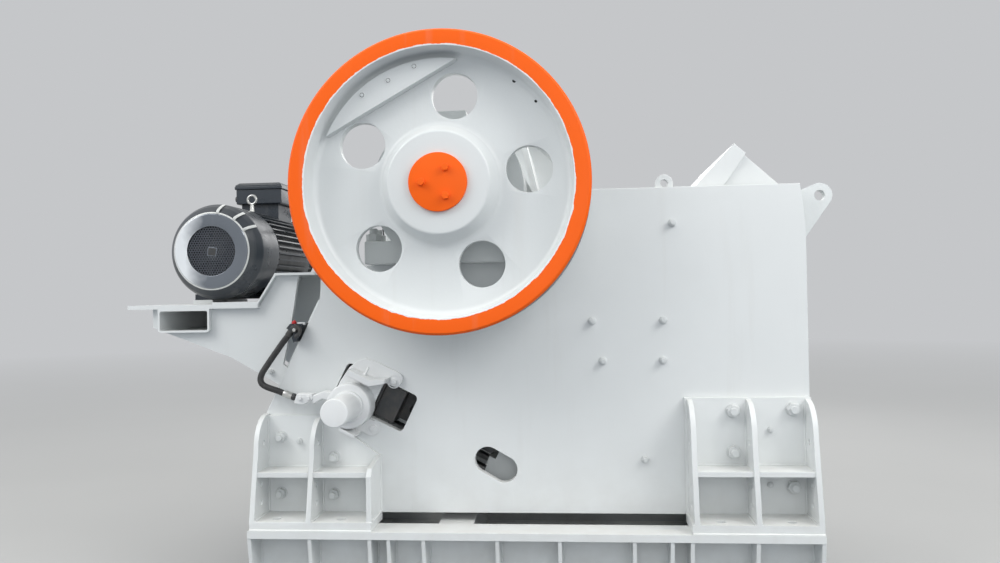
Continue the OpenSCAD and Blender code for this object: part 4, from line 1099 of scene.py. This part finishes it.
# ---------------------------------------------------------------- welds
def make_welds():
    """Weld seams along the feet and the base beams."""
    for side, name in ((-1, "near"), (1, "far")):
        def at(x, out, z):
            return Vector((x, side * out, z))
        y0, foot = 0.748, 0.990
        seams = []
        for x, top in ((-1.130, 1.050), (-0.807, 1.030), (-0.465, 0.815), (1.312, 1.120), (1.635, 1.120),
                       (1.955, 1.120)):
            for edge in (x - 0.002, x + 0.030):
                if edge < -1.131 or edge > 1.984:
                    continue
                seams.append(bead(at(edge, y0 + 0.002, FOOT_TOP), at(edge, y0 + 0.002, top - 0.03), 0.006))
                seams.append(bead(at(edge, y0, FOOT_TOP + 0.002),
                                  at(edge, foot - 0.012, FOOT_TOP + 0.002), 0.006))
        for x0, x1, z in ((-1.10, -0.47, 0.751), (1.345, 1.95, 0.761)):
            for dz in (0.002, -0.032):
                seams.append(bead(at(x0, y0 + 0.002, z + dz), at(x1, y0 + 0.002, z + dz), 0.006))
        for x0, x1 in ((-1.128, -0.440), (1.302, 1.980)):
            seams.append(bead(at(x0, foot + 0.002, BASE_Z + 0.003),
                              at(x1, foot + 0.002, BASE_Z + 0.003), 0.006))
        joined(seams, "foot_welds_" + name, "frame")
        seams = []
        for x in (-1.138, -0.795, -0.458, -0.352, -0.158, 0.247, 0.586, 0.985, 1.184, 1.289, 1.630, 1.965):
            for edge in (x - 0.002, x + 0.022):
                if edge < -1.139 or edge > 1.986:
                    continue
                seams.append(bead(at(edge, 0.834, 0.035), at(edge, 0.834, 0.395), 0.005))
        joined(seams, "beam_welds_" + name, "frame")


# ---------------------------------------------------------------- stage and light
def set_stage():
    """A plain pale floor that melts into a pale background, a soft sky and four lamps.
    The floor throws little light back, as the dark floor of a workshop does."""
    bpy.ops.mesh.primitive_plane_add(size=120, location=(0, 0, -0.001))
    floor = bpy.context.object
    floor.name = "floor"
    paving = Finish("floor_pale", (0.41, 0.41, 0.405), 0.65)
    paving.blend(paving.fade(paving.noise(0.6, 3), 0.3, 0.7, 0.0, 0.4), (0.385, 0.385, 0.38))
    bounce = paving.add("ShaderNodeLightPath").outputs["Is Diffuse Ray"]
    paving.blend(paving.sum("MULTIPLY", bounce, 0.9), (0.13, 0.15, 0.18))
    away = [paving.sum("MULTIPLY", paving.place(axis), paving.place(axis)) for axis in "XY"]
    far = paving.fade(paving.sum("SQRT", paving.sum("ADD", *away)), 4.0, 26.0)
    ray = paving.add("ShaderNodeLightPath").outputs["Is Camera Ray"]
    glow = paving.add("ShaderNodeEmission", {"Color": (*BACKGROUND, 1), "Strength": 1.0})
    both = paving.add("ShaderNodeMixShader", {0: paving.sum("MULTIPLY", far, ray),
                                              1: paving.shader.outputs[0], 2: glow.outputs[0]})
    paving.set(paving.tree.nodes["Material Output"], "Surface", both.outputs[0])
    floor.data.materials.append(paving.mat)
    world = bpy.data.worlds.new("studio")
    bpy.context.scene.world = world
    world.use_nodes = True
    w = Nodes(world.node_tree)
    way = w.add("ShaderNodeTexCoord").outputs["Generated"]
    rise = w.fade(w.add("ShaderNodeSeparateXYZ", {0: way}).outputs["Z"], 0.0, 0.85)
    sky = w.tree.nodes["Background"]
    w.set(sky, "Color", w.mix(rise, (0.86, 0.94, 1.0, 1), (1.0, 1.0, 0.99, 1)))
    w.set(sky, "Strength", w.fade(rise, 0.0, 1.0, 0.56, 1.24))
    seen = w.add("ShaderNodeBackground", {"Color": (*BACKGROUND, 1), "Strength": 1.0})
    ray = w.add("ShaderNodeLightPath").outputs
    most = w.sum("MAXIMUM", ray["Is Camera Ray"], ray["Is Glossy Ray"])
    most = w.sum("MAXIMUM", most, ray["Is Transmission Ray"])
    both = w.add("ShaderNodeMixShader", {0: most, 1: sky.outputs[0], 2: seen.outputs[0]})
    w.set(w.tree.nodes["World Output"], "Surface", both.outputs[0])
    lamps = (
        ("roof_light_left", (-5.6, -4.4, 7.0), (-0.2, -0.6, 0.9), 5.0, 330, (1.0, 0.995, 0.985)),
        ("roof_light_right", (6.8, -4.4, 7.0), (0.8, -0.6, 0.9), 5.0, 390, (1.0, 0.995, 0.985)),
        ("front_light", (1.6, -8.0, 2.6), (0.5, 0.0, 1.0), 5.0, 60, (0.98, 0.985, 1.0)),
        ("back_light", (1.5, 6.5, 5.2), (0.0, 0.0, 1.4), 5.0, 130, (1.0, 0.99, 0.98)),
    )
    for name, at, aim, size, power, tint_of_light in lamps:
        lamp = bpy.data.lights.new(name, "AREA")
        lamp.shape, lamp.size, lamp.energy, lamp.color = "DISK", size, power, tint_of_light
        holder = bpy.data.objects.new(name, lamp)
        bpy.context.scene.collection.objects.link(holder)
        holder.matrix_world = Matrix.Translation(at) @ towards(Vector(aim) - Vector(at), "-Z", "Y")
    bpy.context.scene.view_settings.view_transform = "Standard"


# ---------------------------------------------------------------- the whole machine
place_camera()
FINISH = make_finishes()
dress_nodes()
make_hose()
make_wheel("flywheel", False)
make_wheel("drive_sheave", True)
make_wheel_fittings()
make_cowl()
make_motor()
make_bolts()
side_pieces(cylinder_parts, "setting_cylinder", "wedge_cylinder")
side_pieces(bracket_parts, "bracket_fixings")
make_springs()
make_welds()
EASED = {
    "side_plate_near": 0.004, "side_plate_far": 0.004, "front_frame": 0.004, "rear_frame": 0.004,
    "bearing_housing_near": 0.008, "bearing_housing_far": 0.008, "feed_lip": 0.002,
    "foot_rear_near": 0.004, "foot_rear_far": 0.004, "foot_front_near": 0.004, "foot_front_far": 0.004,
    "base_beam_near": 0.0035, "base_beam_far": 0.0035, "cross_member_rear": 0.003,
    "cross_member_middle": 0.003, "cross_member_front": 0.003, "rear_wedge": 0.003, "front_wedge": 0.003,
}
for name, edge in EASED.items():
    eased_node(name, edge, thirds=name.startswith("foot_rear"))
for name, side in (("cylinder_bracket_near", -1), ("cylinder_bracket_far", 1)):
    eased_node(name, 0.004, first=hood_off(side))
eased_node("flywheel_weight", 0.003, body="shaft")
make_bracket()
set_stage()
